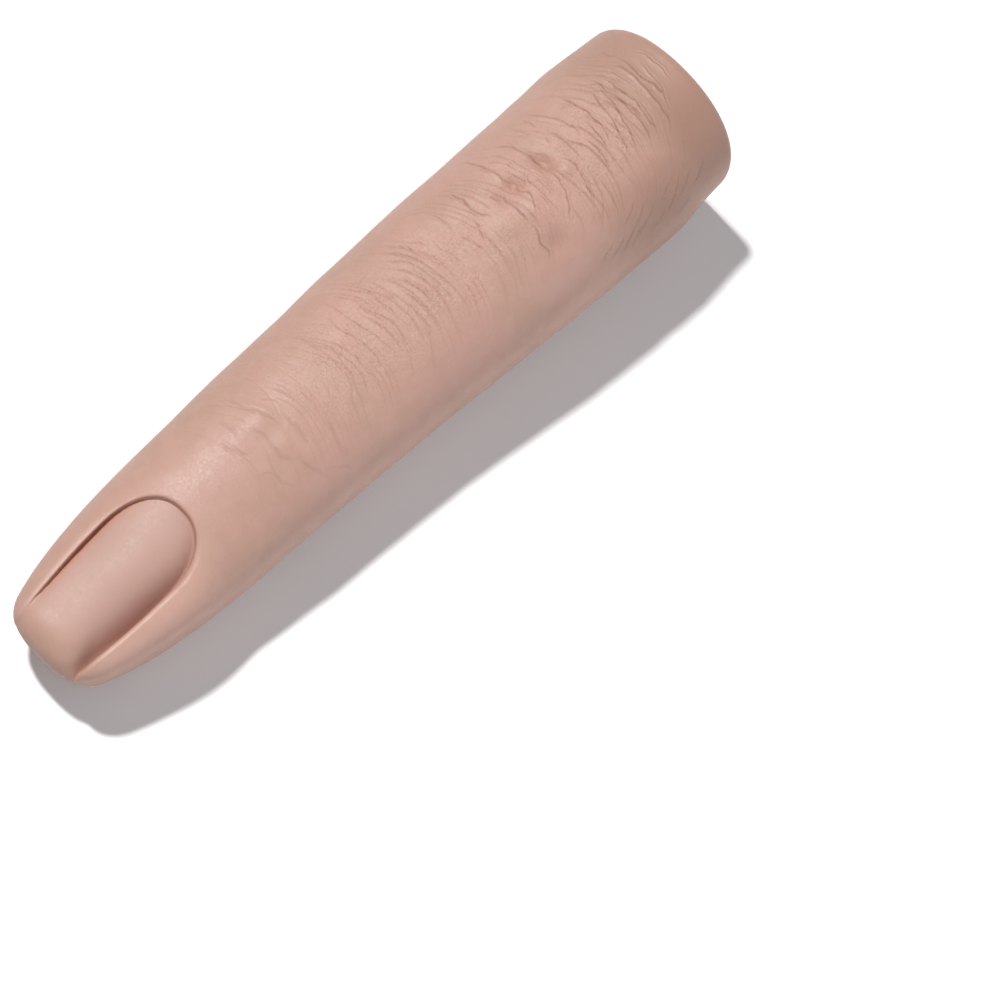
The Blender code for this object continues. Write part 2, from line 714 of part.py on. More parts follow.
def nail_half_width(station, length):
    """The nail bed's half width, with a rounded end at the given length."""
    straight = length - NAIL_END_LENGTH
    spread = math.sin(math.pi / 2 * np.clip(station / straight, 0, 1))
    wide = NAIL_FRONT_WIDTH / 2 + (NAIL_WIDTH - NAIL_FRONT_WIDTH) / 2 * spread
    share = np.clip((station - straight) / NAIL_END_LENGTH, 0, 1)
    return wide * (1 - share**NAIL_ROUNDNESS) ** (1 / NAIL_ROUNDNESS)


def bed_z(station, y):
    """Height of the nail bed's surface."""
    wide = nail_half_width(np.clip(station, 0, NAIL_LENGTH - NAIL_END_LENGTH), NAIL_LENGTH)
    return skin_surface_z(max(station, 0), y) - bed_depth(station, y / wide)


def nail_stations(length):
    straight = length - NAIL_END_LENGTH
    turn = np.sin(np.linspace(0, math.pi / 2 * NAIL_END_SHARE, NAIL_END_STEPS))
    return np.concatenate([spaced(-OVERRUN, straight, NAIL_STEP)[:-1], straight + NAIL_END_LENGTH * turn])


def over_bed(station, y, floor, roof):
    """A closed section between two rows of heights, at one station."""
    low = [(TIP_X + station, *point) for point in zip(y, floor)]
    high = [(TIP_X + station, *point) for point in zip(y[::-1], roof[::-1])]
    return low + high


def nail_pocket():
    """The open space above the nail bed."""
    rings = []
    for station in nail_stations(NAIL_LENGTH):
        half = nail_half_width(station, NAIL_LENGTH)
        y = np.linspace(-half, half, NAIL_POINTS)
        roof = np.full(NAIL_POINTS, KNUCKLE_HEIGHT)
        rings.append(over_bed(station, y, bed_z(station, y), roof))
    return loft("nail_pocket", rings, CUTTERS)


def nail_slot():
    """The thin space under the folds, level with the nail bed."""
    length = NAIL_LENGTH + SLOT_REACH
    widening = SLOT_REACH / (NAIL_WIDTH / 2)
    rings = []
    for station in nail_stations(length)[1:]:
        ramp = smooth_step((station - NAIL_START) / NAIL_RAMP_LENGTH)
        reach = nail_half_width(station, length) * (1 + widening * (2 * ramp - 1))
        y = np.linspace(-reach, reach, NAIL_POINTS)
        floor = bed_z(station, y) - SLOT_SINK
        rings.append(over_bed(station, y, floor, floor + SLOT_HEIGHT))
    return loft("nail_slot", rings, CUTTERS)


def skin_tip(pivot):
    rings = [skin_ring(station, opened) for station, opened in nose_stations()]
    end = DISTAL_LENGTH - DIP_FOLD_REACH - SKIN_GAP / 2
    rings += [skin_ring(station) for station in spaced(NOSE_LENGTH, end, SKIN_STEP)[1:]]
    pole = (TIP_X, 0, MIDDLE_Z(0))
    skin = loft("skin_tip", rings, FINGER, pole)
    combine(skin, loft("distal_bore", distal_rings(CORE_CLEARANCE, FORK_END_DIP), CUTTERS))
    combine(skin, nail_pocket())
    combine(skin, nail_slot())
    return finish(skin, SKIN_FINISH, pivot)


def skin_fold(name, pivot_x, reach, hardware, radius, pivot=None):
    """The ring of skin that gives at a joint, hollow where the pivot turns."""
    station = pivot_x - TIP_X
    skin = skin_between(name, station - reach + SKIN_GAP / 2, station + reach - SKIN_GAP / 2)
    rings = [
        core_ring(x, CORE_HEIGHT, hardware + CORE_CLEARANCE, radius + CORE_CLEARANCE)
        for x in (pivot_x - reach - OVERRUN, pivot_x + reach + OVERRUN)
    ]
    combine(skin, loft(f"{name}_bore", rings, CUTTERS))
    return finish(skin, SKIN_FINISH, pivot)


def skin_middle(pivot):
    start = DISTAL_LENGTH + DIP_FOLD_REACH + SKIN_GAP / 2
    end = DISTAL_LENGTH + MIDDLE_LENGTH - PIP_FOLD_REACH - SKIN_GAP / 2
    skin = skin_between("skin_middle", start, end)
    combine(skin, loft("middle_bore", waisted_rings(*middle_ends(), CORE_CLEARANCE, OVERRUN), CUTTERS))
    return finish(skin, SKIN_FINISH, pivot)


def skin_base():
    start = DISTAL_LENGTH + MIDDLE_LENGTH + PIP_FOLD_REACH + SKIN_GAP / 2
    rings = [skin_ring(station) for station in spaced(start, FINGER_LENGTH - RIM_RADIUS, SKIN_STEP)]
    for angle in np.linspace(0, math.pi / 2, RIM_STEPS + 1)[1:]:
        station = FINGER_LENGTH - RIM_RADIUS * (1 - math.sin(angle))
        rings.append(skin_ring(station, inset=RIM_RADIUS * (1 - math.cos(angle))))
    skin = loft("skin_base", rings, FINGER)
    combine(skin, loft("proximal_bore", waisted_rings(*proximal_ends(), CORE_CLEARANCE, OVERRUN), CUTTERS))
    recess = plug_rings(PLUG_FRONT_X - CORE_CLEARANCE, REAR_X + OVERRUN, CORE_CLEARANCE)
    combine(skin, loft("plug_recess", recess, CUTTERS))
    return finish(skin, SKIN_FINISH)


def build():
    pip = pivot_empty("pip_joint", PIP_X)
    dip = pivot_empty("dip_joint", DIP_X, pip)
    proximal_bone()
    middle_bone(pip)
    distal_bone(dip)
    pivot_stack("pip", PIP_X, None, PIP_SIZES)
    pivot_stack("dip", DIP_X, pip, DIP_SIZES)
    base_plug()
    base_screw()
    skin_tip(dip)
    skin_fold("skin_dip_fold", DIP_X, DIP_FOLD_REACH, DIP_REACH, DIP_FORK_RADIUS, pip)
    skin_middle(pip)
    skin_fold("skin_pip_fold", PIP_X, PIP_FOLD_REACH, PIP_REACH, PIP_FORK_RADIUS)
    skin_base()


build()
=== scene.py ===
"""A nail practice finger, finished round its packed core.

The finger lies on its palm side along X, fingertip at -X, nail up (+Z). Metres.
"""

import itertools
import json
import math

import bmesh
import bpy
import numpy as np
from mathutils import Matrix, Vector


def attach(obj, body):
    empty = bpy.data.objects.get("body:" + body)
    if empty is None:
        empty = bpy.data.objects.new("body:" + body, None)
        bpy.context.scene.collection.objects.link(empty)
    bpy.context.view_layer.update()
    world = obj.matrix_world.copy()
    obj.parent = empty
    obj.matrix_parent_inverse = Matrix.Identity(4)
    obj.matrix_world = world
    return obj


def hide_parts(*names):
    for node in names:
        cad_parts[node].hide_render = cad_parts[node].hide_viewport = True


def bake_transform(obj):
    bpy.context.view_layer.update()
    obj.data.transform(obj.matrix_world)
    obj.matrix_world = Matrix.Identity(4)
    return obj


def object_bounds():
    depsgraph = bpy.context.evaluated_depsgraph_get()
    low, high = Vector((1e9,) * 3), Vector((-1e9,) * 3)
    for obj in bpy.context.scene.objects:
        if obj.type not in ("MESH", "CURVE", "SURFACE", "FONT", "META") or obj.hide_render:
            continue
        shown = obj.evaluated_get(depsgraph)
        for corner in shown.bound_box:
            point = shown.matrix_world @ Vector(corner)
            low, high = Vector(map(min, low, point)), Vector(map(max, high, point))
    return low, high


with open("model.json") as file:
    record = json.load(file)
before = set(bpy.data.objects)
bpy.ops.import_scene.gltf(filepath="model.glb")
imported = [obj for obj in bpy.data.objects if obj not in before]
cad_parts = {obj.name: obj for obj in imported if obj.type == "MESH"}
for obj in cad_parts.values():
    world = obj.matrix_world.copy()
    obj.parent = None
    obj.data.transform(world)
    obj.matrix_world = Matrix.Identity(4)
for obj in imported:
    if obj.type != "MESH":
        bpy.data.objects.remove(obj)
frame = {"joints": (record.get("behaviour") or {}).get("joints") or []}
CAD_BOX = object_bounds()

# The frame's own places
JOINT_X = {joint["name"]: joint["pos_m"][0] for joint in frame["joints"]}
DIP_X = JOINT_X["dip_bend"]
PIP_X = JOINT_X["pip_bend"]
TIP_X = CAD_BOX[0].x
REAR_X = CAD_BOX[1].x
FINGER_LENGTH = REAR_X - TIP_X
DISTAL_LENGTH = DIP_X - TIP_X
MIDDLE_LENGTH = PIP_X - DIP_X
PROXIMAL_LENGTH = REAR_X - PIP_X

# The skin's sizes
KNUCKLE_WIDTH = 0.0198
KNUCKLE_HEIGHT = 0.0176
NOSE_LENGTH = 0.0040
NOSE_SETBACK = 0.0012
NOSE_SETBACK_LENGTH = 0.0100
RIM_RADIUS = 0.0011
NAIL_SEAM = 0.0210
MIDDLE_SEAM = 0.0460
ROOT_SEAM = 0.0730
PLUG_WALL = 0.0021
PLUG_RECESS_DEPTH = 0.0033
RECESS_EDGE = 0.0003

# The nail bed, the slot under its folds and the lip round it
NAIL_LENGTH = 0.0182
NAIL_WIDTH = 0.0093
NAIL_FRONT_WIDTH = 0.0075
NAIL_END_LENGTH = 0.0062
NAIL_SHIFT = 0.0006
NAIL_START = 0.0012
NAIL_RAMP_LENGTH = 0.0045
NAIL_EDGE_LEAD = (0.0010, 0.0012)
NAIL_EDGE_RAMP = (0.0145, 0.0045)
BED_CENTRE_DEPTH = 0.0003
BED_EDGE_DROP = (0.0006, 0.0020)
BED_EDGE_POWER = 2.05
BED_ROOT_SHARE = 0.36
BED_FOOT_Z = 0.0055
BED_FOOT_FADE = 0.0020
BED_FIELD_LIMIT = 1.5
SLOT_REACH = (0.00010, -0.00020)
SLOT_HEIGHT = 0.00020
LIP_RADIUS = 0.00009
SLOT_RADIUS = 0.00010
# The deep edge of the bed on its -Y side, where the surface is eased: distances outside the
# bed's outline, depths under the skin, how far each point moves and how often. The bed's own
# normals are eased too, over the calm span
SLOT_INNER = (-0.0005, -0.0002)
SLOT_OUTER = (0.0012, 0.0009)
SLOT_DEPTHS = (0.0003, 0.0006)
SLOT_EASE = 0.5
SLOT_EASE_TIMES = 6
CALM_SPAN = (-0.0005, -0.0012)
NORMAL_EASE = 0.8
NORMAL_EASE_TIMES = 3

# The folds beside the bed: how far each one's crest stands proud of the skin, and its place
# between the lip and the side as a share, on the +Y side and then on the -Y side
FOLD_RISE = (0.00006, 0.00018)
FOLD_SHARE = (0.45, 0.50)
FOLD_FURTHEST = 0.0018
FOLD_SPREAD = 0.0013
LIP_RISE = 0.00007
LIP_END = 0.0150
LIP_FADE = 0.0045
LIP_DISTANCE = 0.00030
LIP_SPREAD = 0.00030
FOLD_ROOT = 0.0206
FOLD_ROOT_FADE = 0.0040

# Marks for the bed's own tint, and for the painted shade, glow and light round it, by distance
# outside its outline, depth under the skin and station
BED_TINT_EDGE = (0.0002, -0.0005)
BED_TINT_HEIGHT = (0.0004, 0.0001)
BED_TINT_STATIONS = (0.0005, 0.0045)
SHADE_SPREAD = 0.0005
SHADE_WIDER = 0.0008
HOLLOW_SHADE_DEPTHS = (0.0004, 0.0014)
SLOT_GLOW_DEPTHS = (0.0002, 0.0007)
LIP_LIGHT_DEPTHS = (0.0003, 0.0)
FOLD_LIGHT = 0.35
FOLD_LIGHT_STATIONS = (FOLD_ROOT - 0.0010, FOLD_ROOT - 0.0090)
FOLD_LIGHT_EDGE = (-0.0002, 0.0002)
FOLD_LIGHT_DISTANCE = 0.0015
FOLD_LIGHT_SPREAD = 0.0016

# How much tan and painted shade the skin has: a tan at the rear, deepened by painted shade
# towards the -Y side; painted shade low on the -Y side in front of it; and painted shade low on
# the +Y side as an angle from the top
TAN_REAR = (0.0740, 0.0810)
TAN_SHADE_REAR_Y = (0.0020, -0.0040)
TAN_REAR_LEAST = 0.60
TAN_SHADE_SIDE = (0.0640, 0.0750)
TAN_SHADE_SIDE_Y = (-0.0025, -0.0075)
TAN_SHADE_SIDE_SHARE = 0.85
LOW_SHADE_ANGLES = (0.6, 1.5)
LOW_SHADE_SHARE = 0.12

# Shape of the skin along each length: station as a share of it, width as a share of the
# knuckle's, then the widest point, the top and the underside as shares of its height
DISTAL_SHARES = (
    (0.00, 0.528, 0.340, 0.485, 0.225),
    (0.105, 0.590, 0.337, 0.525, 0.110),
    (0.21, 0.670, 0.337, 0.557, 0.040),
    (0.35, 0.745, 0.340, 0.610, -0.012),
    (0.53, 0.805, 0.353, 0.670, -0.020),
    (0.70, 0.835, 0.370, 0.733, -0.012),
    (0.88, 0.850, 0.392, 0.784, 0.024),
)
MIDDLE_SHARES = (
    (0.00, 0.865, 0.410, 0.807, 0.050),
    (0.21, 0.885, 0.415, 0.830, 0.010),
    (0.47, 0.920, 0.425, 0.870, -0.008),
    (0.73, 0.960, 0.455, 0.930, 0.015),
)
PROXIMAL_SHARES = (
    (0.00, 0.988, 0.490, 1.000, 0.060),
    (0.30, 1.000, 0.495, 1.017, 0.010),
    (0.50, 1.012, 0.495, 1.028, -0.010),
    (0.62, 1.016, 0.495, 1.034, -0.017),
    (0.72, 1.001, 0.496, 1.037, -0.018),
    (0.83, 0.974, 0.498, 1.040, -0.016),
    (1.00, 0.946, 0.500, 1.045, -0.012),
)
SKIN_ROUNDNESS = 2.15
NOSE_ROUNDNESS = 3.1
NOSE_SKEW = 0.02
NOSE_CORNER = 0.00035
NOSE_CORNER_Y = (0.0002, -0.0050)
SHOULDER_ROUNDNESS = 4.5
SHOULDER_EDGE = (-0.0001, 0.0006)
SHOULDER_END = 0.0190
SHOULDER_FADE = 0.0090
NAIL_ROUNDNESS = 2.35

# Sideways sway of the finger's middle line, by station
SWAY = (
    (0.0210, 0.0),
    (0.0330, 0.00012),
    (0.0450, 0.00015),
    (0.0560, 0.0),
    (0.0620, -0.00024),
    (0.0735, -0.00036),
    (0.0768, -0.00031),
    (0.0790, -0.00024),
    (0.0813, -0.00019),
    (0.0850, -0.00020),
)

# How finely the skin is divided
NET_STEP = 0.00014
NET_MARGIN = 6
NET_PAST_SEAM = 4
FLAT_SLOPE_PERCENT = 5
RING_STEP = 0.000078
AROUND_COUNT = 280
BACK_CROWDING = 0.42
OUTLINE_COUNT = 720
PATH_STEP = 0.0001
RIM_STEPS = 8
FACE_STEPS = 3

# Creases that the photograph shows one by one, each as x and y of its points, in turn, in
# the photograph's 1000-pixel frame
DIP_CREASES = (
    (221, 400, 234, 402, 245, 407, 255, 410, 266, 415, 275, 419, 284, 425),
    (284, 415, 290, 421, 296, 426, 301, 432, 305, 439, 311, 445),
    (246, 430, 255, 432, 265, 437, 270, 442, 275, 450, 282, 457, 292, 460, 301, 459),
    (301, 459, 305, 465, 311, 469, 320, 473, 325, 477),
    (217, 419, 225, 425, 235, 432, 239, 439),
    (219, 445, 230, 450, 240, 454, 250, 457),
    (326, 421, 332, 427, 336, 439, 341, 449, 345, 458),
)
DIP_LINES = (
    (312, 438, 317, 447),
    (236, 419, 242, 420, 246, 423),
    (300, 387, 306, 395, 314, 404, 320, 413),
    (324, 382, 329, 390, 332, 399),
    (260, 400, 275, 401, 281, 405),
    (272, 385, 280, 390, 290, 396, 296, 403),
    (330, 469, 338, 467, 347, 467, 351, 471),
    (260, 478, 266, 474, 275, 476, 281, 481, 290, 486, 295, 490),
    (346, 449, 349, 458),
)
MIDDLE_CREASES = (
    (302, 340, 315, 342, 326, 345, 337, 355, 345, 366, 352, 375, 360, 388),
    (320, 314, 332, 322, 340, 329, 355, 337, 370, 349, 382, 365, 393, 380),
    (320, 301, 330, 306, 346, 317, 359, 325, 375, 335, 389, 347, 400, 358),
    (329, 297, 340, 297, 352, 299, 367, 311, 382, 321, 390, 326),
    (340, 285, 352, 287, 364, 289, 377, 300, 392, 311, 408, 325),
    (364, 280, 372, 282, 381, 287, 395, 300, 399, 306),
    (400, 241, 409, 249, 416, 254, 432, 261, 447, 271),
    (399, 275, 414, 286, 426, 294, 431, 299),
    (434, 242, 441, 249, 457, 259, 463, 265),
)
MIDDLE_LINES = (
    (314, 355, 327, 363, 340, 373),
    (352, 349, 361, 362, 375, 380, 381, 388),
    (386, 277, 396, 280, 406, 290),
    (416, 241, 425, 246),
    (455, 242, 469, 254, 475, 258),
    (407, 266, 416, 271, 429, 280),
    (387, 247, 396, 250, 405, 256),
    (427, 270, 437, 275, 449, 280),
    (411, 295, 419, 304),
)
PIP_CREASES = (
    (441, 195, 452, 196, 460, 200, 474, 211, 481, 216, 487, 215, 493, 220),
    (460, 164, 471, 164, 482, 167, 490, 172, 499, 177, 507, 181, 515, 182),
    (515, 182, 520, 191, 529, 194, 534, 206, 536, 215),
    (491, 147, 502, 147, 512, 148, 520, 151, 530, 155, 537, 160, 546, 167),
    (546, 167, 554, 174, 559, 181, 565, 190, 567, 200, 569, 209, 571, 222),
    (505, 192, 506, 200, 511, 206, 517, 210, 522, 217, 526, 223),
    (531, 224, 537, 232, 542, 244, 549, 251, 551, 261),
    (560, 157, 569, 160, 576, 166, 582, 175, 586, 182, 591, 194, 594, 203),
    (526, 115, 536, 116, 546, 117, 556, 119, 565, 124, 574, 127, 580, 133),
    (547, 130, 556, 135, 562, 140, 569, 146, 576, 154, 583, 161),
)
PIP_LINES = (
    (474, 221, 480, 229, 484, 236, 488, 241),
    (460, 236, 470, 241, 477, 246, 483, 250),
    (487, 196, 495, 199, 505, 200),
    (561, 171, 567, 174, 574, 178),
    (545, 137, 550, 143),
    (511, 130, 520, 131, 530, 134, 535, 135),
    (522, 121, 530, 124, 536, 128),
    (495, 158, 505, 160, 513, 166),
    (521, 170, 526, 177, 532, 184, 537, 182, 543, 188),
    (540, 197, 546, 202, 550, 210),
    (478, 168, 485, 172, 492, 175),
)
REAR_CREASES = (
    (555, 95, 565, 100, 575, 106, 587, 112, 594, 119, 600, 124, 605, 131, 612, 145),
    (587, 90, 594, 95, 600, 104, 607, 112, 614, 120, 620, 135, 625, 145, 632, 160),
    (600, 89, 607, 96, 614, 104, 622, 119, 627, 126, 631, 136, 639, 156),
    (587, 79, 595, 82, 604, 90, 620, 101, 634, 114, 646, 129, 654, 150),
    (596, 77, 607, 80, 620, 91, 637, 102, 647, 119, 657, 130, 660, 138),
    (604, 64, 615, 65, 632, 74, 647, 90, 661, 107, 670, 126, 671, 136),
    (615, 57, 625, 62, 640, 75, 657, 87, 665, 96, 670, 108),
    (585, 121, 591, 127, 599, 136, 604, 142, 608, 150),
    (586, 140, 592, 144, 600, 151, 605, 159, 611, 169),
)
REAR_LINES = (
    (609, 71, 617, 75, 626, 80, 633, 85),
    (640, 61, 647, 69, 654, 77, 664, 91, 668, 100),
    (636, 51, 646, 55, 654, 61, 670, 78),
    (600, 51, 610, 56, 620, 57),
)
SLANT_LINES = (
    (636, 200, 631, 214, 624, 228),
    (646, 199, 640, 216, 631, 238, 620, 258),
    (655, 202, 647, 220, 637, 238, 627, 252),
    (666, 207, 660, 219, 652, 229),
    (681, 171, 676, 187, 671, 204, 667, 214),
    (691, 169, 686, 183, 680, 197),
    (672, 176, 666, 190, 661, 203),
    (704, 159, 700, 170, 694, 184),
    (644, 224, 636, 237, 630, 247),
    (613, 243, 608, 253, 603, 262),
    (625, 236, 618, 249, 612, 259),
    (690, 196, 682, 209, 676, 217),
)
# Each group's depth and half width
CREASE_GROUPS = (
    (DIP_CREASES, 0.00007, 0.00025),
    (DIP_LINES, 0.00005, 0.00015),
    (MIDDLE_CREASES, 0.00012, 0.00008),
    (MIDDLE_LINES, 0.00010, 0.00008),
    (PIP_CREASES, 0.00019, 0.00010),
    (PIP_LINES, 0.00014, 0.00009),
    (REAR_CREASES, 0.00021, 0.00010),
    (REAR_LINES, 0.00015, 0.00009),
    (SLANT_LINES, 0.00013, 0.00010),
)
# Their raised banks, the depth from which their painted shade is full, how they wander and how
# they fade at their ends
CREASE_BANK = 0.60
CREASE_BANK_SPREAD = 2.4
CREASE_FULL_SHADE_DEPTH = 0.00020
CREASE_WANDER = 0.00010
CREASE_WANDER_SIZE = 0.0006
WANDER_SEEDS = (81, 82)
CREASE_END_SHARE = 0.22
CREASE_END_LEAST = 0.2

# Pads and hollows of the knuckle: place in the photograph, height and radius. Hollows, with
# heights below zero, also get painted shade
PADS = (
    ((537, 184), 0.00044, 0.0012),
    ((530, 208), 0.00042, 0.0014),
    ((504, 161), 0.00028, 0.0013),
    ((476, 190), 0.00024, 0.0015),
    ((506, 226), 0.00032, 0.0014),
    ((546, 220), 0.00030, 0.0017),
    ((565, 168), 0.00036, 0.0011),
    ((514, 184), -0.00062, 0.0009),
    ((544, 162), -0.00058, 0.0008),
    ((536, 157), -0.00032, 0.0008),
    ((556, 243), -0.00026, 0.0014),
    ((552, 168), -0.00024, 0.0007),
    ((502, 198), -0.00026, 0.0009),
    ((258, 420), 0.00022, 0.0016),
    ((286, 443), 0.00018, 0.0012),
    ((308, 452), 0.00014, 0.0010),
    ((236, 436), 0.00012, 0.0014),
    ((300, 404), 0.00012, 0.0016),
)

# Fine creases all over the back: spacing, slant, depth and first seed of each layer
FINE_LAYERS = (
    (0.00080, 0.07, 0.000105, 11),
    (0.00110, -0.09, 0.000085, 31),
    (0.00050, 0.03, 0.000050, 51),
)
FINE_BOW = 40
FINE_HALF_SHARE = 0.11
# How much painted shade the fine creases' valleys get
FINE_CREASE_SHADE = 0.50
# Their waves: height as a share of the spacing, and length along and round in millimetres
FINE_WAVES = ((0.9, 4, 7), (0.4, 1.3, 3))
# Where they break off and thin out: sizes in millimetres and spans of the noise
FINE_BREAK_LENGTH = 5
FINE_BREAK = (-0.45, 0.3)
FINE_PATCH_SIZE = (3, 5)
FINE_PATCH = (-0.7, 0.5)
# Where they fade on each side, as millimetres from the middle of the back, and the stations
# over which the -Y side's are longer
FINE_PLUS_SIDE = (10, 5)
FINE_MINUS_SIDE = (-8, -2)
FINE_LONGER = 3
FINE_LONGER_STATIONS = (62, 70)
# How strong they are by station, as a share
FINE_ZONES = (
    (0.0210, 0.0),
    (0.0240, 0.25),
    (0.0290, 0.55),
    (0.0340, 0.45),
    (0.0400, 0.80),
    (0.0500, 0.90),
    (0.0580, 0.80),
    (0.0640, 0.80),
    (0.0700, 1.35),
    (0.0780, 1.00),
    (0.0815, 0.12),
    (0.0850, 0.0),
)
# How grainy the skin is along the top of the back, by station
GRAIN_ZONES = (
    (0.0250, 0.0),
    (0.0300, 0.10),
    (0.0360, 0.60),
    (0.0450, 1.00),
    (0.0550, 0.90),
    (0.0620, 0.70),
    (0.0700, 1.00),
    (0.0770, 0.80),
    (0.0810, 0.0),
    (0.0850, 0.0),
)
# Where the grain fades on each side, in millimetres from the middle of the back
GRAIN_PLUS_SIDE = (8.5, 3)
GRAIN_MINUS_SIDE = (-6.5, -1)
# Broad unevenness of the back
UNEVENNESS = 0.00006
UNEVEN_SIZE = 0.0045
UNEVEN_FADE = (0.004, 0.012)
UNEVEN_SEEDS = (71, 72)
NOISE_SIZE = 64
MILLIMETRE = 0.001

# Creases across the palm side: how they bow, how far round they reach, and for each one its
# joint, the distance from it, its depth and its half width
PALM_BOW = 12
PALM_REACH = (0.0095, 0.0050)
PALM_CREASES = (
    (DIP_X, 0.0, 0.00028, 0.00035),
    (PIP_X, -0.0009, 0.00026, 0.00035),
    (PIP_X, 0.0010, 0.00022, 0.00030),
)

# Noise in the skin: size, detail and the values where it starts and is full. Then, for the
# patches of the top grain, the least share
PATCHES = (0.0080, 3, 0.38, 0.62)
BLOTCHES = (0.0017, 3, 0.38, 0.66)
# The mottle's fine specks are random tone, and also painted glints and shade of the grain
MOTTLE = (0.00021, 1, 0.30, 0.70)
TOP_GRAIN_PATCHES = (0.0022, 2, 0.35, 0.65, 0.35)
# Fine grain: size, detail and roughness
GRAIN = (0.00028, 3, 0.75)
GRAIN_SPAN = (0.3, 0.7)
GRAIN_DEPTH = 0.00014
GRAIN_LEAST = 0.25
MOTTLE_LEAST = 0.02
MOTTLE_TOP_GRAIN = 0.15
# How much lighter the colour is along the top of the back, where the top grain lies
TOP_GRAIN_LIGHTER = 0.12
# The net of fine lines between the creases, whose lines are painted darker as their shade
NET_SIZE = 0.0007
NET_STRETCH = (1.7, 0.9, 0.9)
NET_LINE = 0.28
NET_WARP = 0.0004
NET_WARP_SIZE = 0.0010
NET_LINE_SHADE = 0.05
NET_DEPTH = 0.00003
# Colours of the skin, and the marks' tints, which are mostly painted shade and light: share and
# colour
SKIN_TONES = ((0.560, 0.325, 0.260, 1), (0.525, 0.316, 0.243, 1))
BLOTCH_SHARE = 0.35
BLOTCH_TONE = (0.600, 0.370, 0.304, 1)
BED_TONES = ((0.570, 0.348, 0.287, 1), (0.545, 0.340, 0.277, 1))
SKIN_TAN_AND_SHADE = (
    # The tan, deepened by painted shade on the -Y side, and painted shade low on the +Y side
    ("tan_and_shade", 1.00, (0.400, 0.226, 0.166, 1)),
    # Painted shade in the knuckle's hollows
    ("flush", 0.42, (0.440, 0.235, 0.170, 1)),
    # Painted shade in the creases
    ("crease", 0.46, (0.250, 0.115, 0.080, 1)),
)
NAIL_SHADE_AND_LIGHT = (
    # Painted shade in the hollow beside the bed on its -Y side
    ("hollow_shade", 0.52, (0.340, 0.180, 0.140, 1)),
    # Painted reddish glow in the shade under the +Y lip
    ("slot_glow", 0.80, (0.620, 0.265, 0.175, 1)),
    # Painted highlight on the lip, and painted light on the -Y fold
    ("lip", 0.50, (0.800, 0.540, 0.450, 1)),
)
SKIN_ROUGHNESS = (0.40, 0.55)
BED_ROUGHER = 0.08
BED_SMOOTHER = 0.8
SUBSURFACE = 0.20
SUBSURFACE_WARM = 0.45

# Hard plastics: colour, roughness, and the size and depth of their grain
PLASTICS = {
    "ivory_core": ((0.600, 0.540, 0.400), 0.50, 0.0004, 0.00002),
    "nylon": ((0.700, 0.700, 0.650), 0.32, 0.0005, 0.00001),
    "plug": ((0.470, 0.290, 0.215), 0.52, 0.00035, 0.00003),
}
PLASTIC_CLOUD_SIZE = 0.006
PLASTIC_DARKER = 0.92
PLASTIC_ROUGHNESS_SPREAD = 0.05
STEEL_TONES = ((0.640, 0.640, 0.660, 1), (0.560, 0.565, 0.590, 1))
STEEL_CLOUD_SIZE = 0.002
STEEL_MARK_SIZE = 0.0004
STEEL_MARK_DEPTH = 0.00001
STEEL_STRETCH = (1, 0.15, 1)
STEEL_ROUGHNESS = (0.26, 0.42)

# The frame's own parts that stay, by material
CORE_PARTS = {
    "ivory_core": ("distal_bone", "middle_bone", "proximal_bone"),
    "nylon": ("pip_washer_left", "pip_washer_right", "dip_washer_left", "dip_washer_right"),
    "plug": ("base_plug",),
    "zinc_steel": (
        "pip_screw", "pip_nut", "pip_spring_washer",
        "dip_screw", "dip_nut", "dip_spring_washer", "base_screw",
    ),
}

# The photograph's view: the look point's place in its 1000-pixel frame, the camera's
# direction from the object, and the finger's turn in the picture
LOOK_HEIGHT = 0.0080
LOOK_PIXEL = (359.6, 371.5)
FRAME_PIXELS = 1000
CAMERA_DISTANCE = 0.600
CAMERA_PIXELS_PER_METRE = 10450
CAMERA_ELEVATION = math.radians(68)
CAMERA_SIDE_TILT = math.radians(9)
PICTURE_TURN = math.radians(41.35)
SENSOR_WIDTH = 36

# The sun, and the room's light by direction: it is brighter towards -Y and low down there
SUN_STRENGTH = 2.65
SUN_ANGLE = math.radians(4.5)
SUN_ELEVATION = math.radians(61)
ROOM_SPAN = (0.5, -0.7)
ROOM_LEVELS = (0.15, 0.42)
ROOM_TINTS = ((1, 0.985, 0.960, 1), (0.940, 0.965, 1, 1))
LOW_LIGHT = 1.65
LOW_LIGHT_Z = (0.6, 0.0)
LOW_LIGHT_Y = (0.0, -0.8)
WHITE = (1, 1, 1, 1)
# The floor's colour for the light that it sends back, and as it is seen
FLOOR_TONES = ((0.38, 0.38, 0.38, 1), (1.12, 1.10, 1.11, 1))


# The camera's frame


def camera_frame():
    """The camera's place and its right, up and back directions.

    It points from the photograph's direction, turned about its own place so that the finger
    lies off centre.
    """
    towards = Vector((
        -math.cos(CAMERA_ELEVATION),
        -math.sin(CAMERA_ELEVATION) * math.sin(CAMERA_SIDE_TILT),
        math.sin(CAMERA_ELEVATION) * math.cos(CAMERA_SIDE_TILT),
    ))
    along = Vector((1, 0, 0))
    along = (along - towards * along.dot(towards)).normalized()
    down = -towards.cross(along)
    right = along * math.cos(PICTURE_TURN) + down * math.sin(PICTURE_TURN)
    up = along * math.sin(PICTURE_TURN) - down * math.cos(PICTURE_TURN)
    off_right = (LOOK_PIXEL[0] - FRAME_PIXELS / 2) / FOCAL_PIXELS
    off_up = (FRAME_PIXELS / 2 - LOOK_PIXEL[1]) / FOCAL_PIXELS
    back = (towards + right * off_right + up * off_up).normalized()
    right = (right - back * right.dot(back)).normalized()
    up = back.cross(right)
    place = Vector((0, 0, LOOK_HEIGHT)) + towards * CAMERA_DISTANCE
    return place, right, up, back


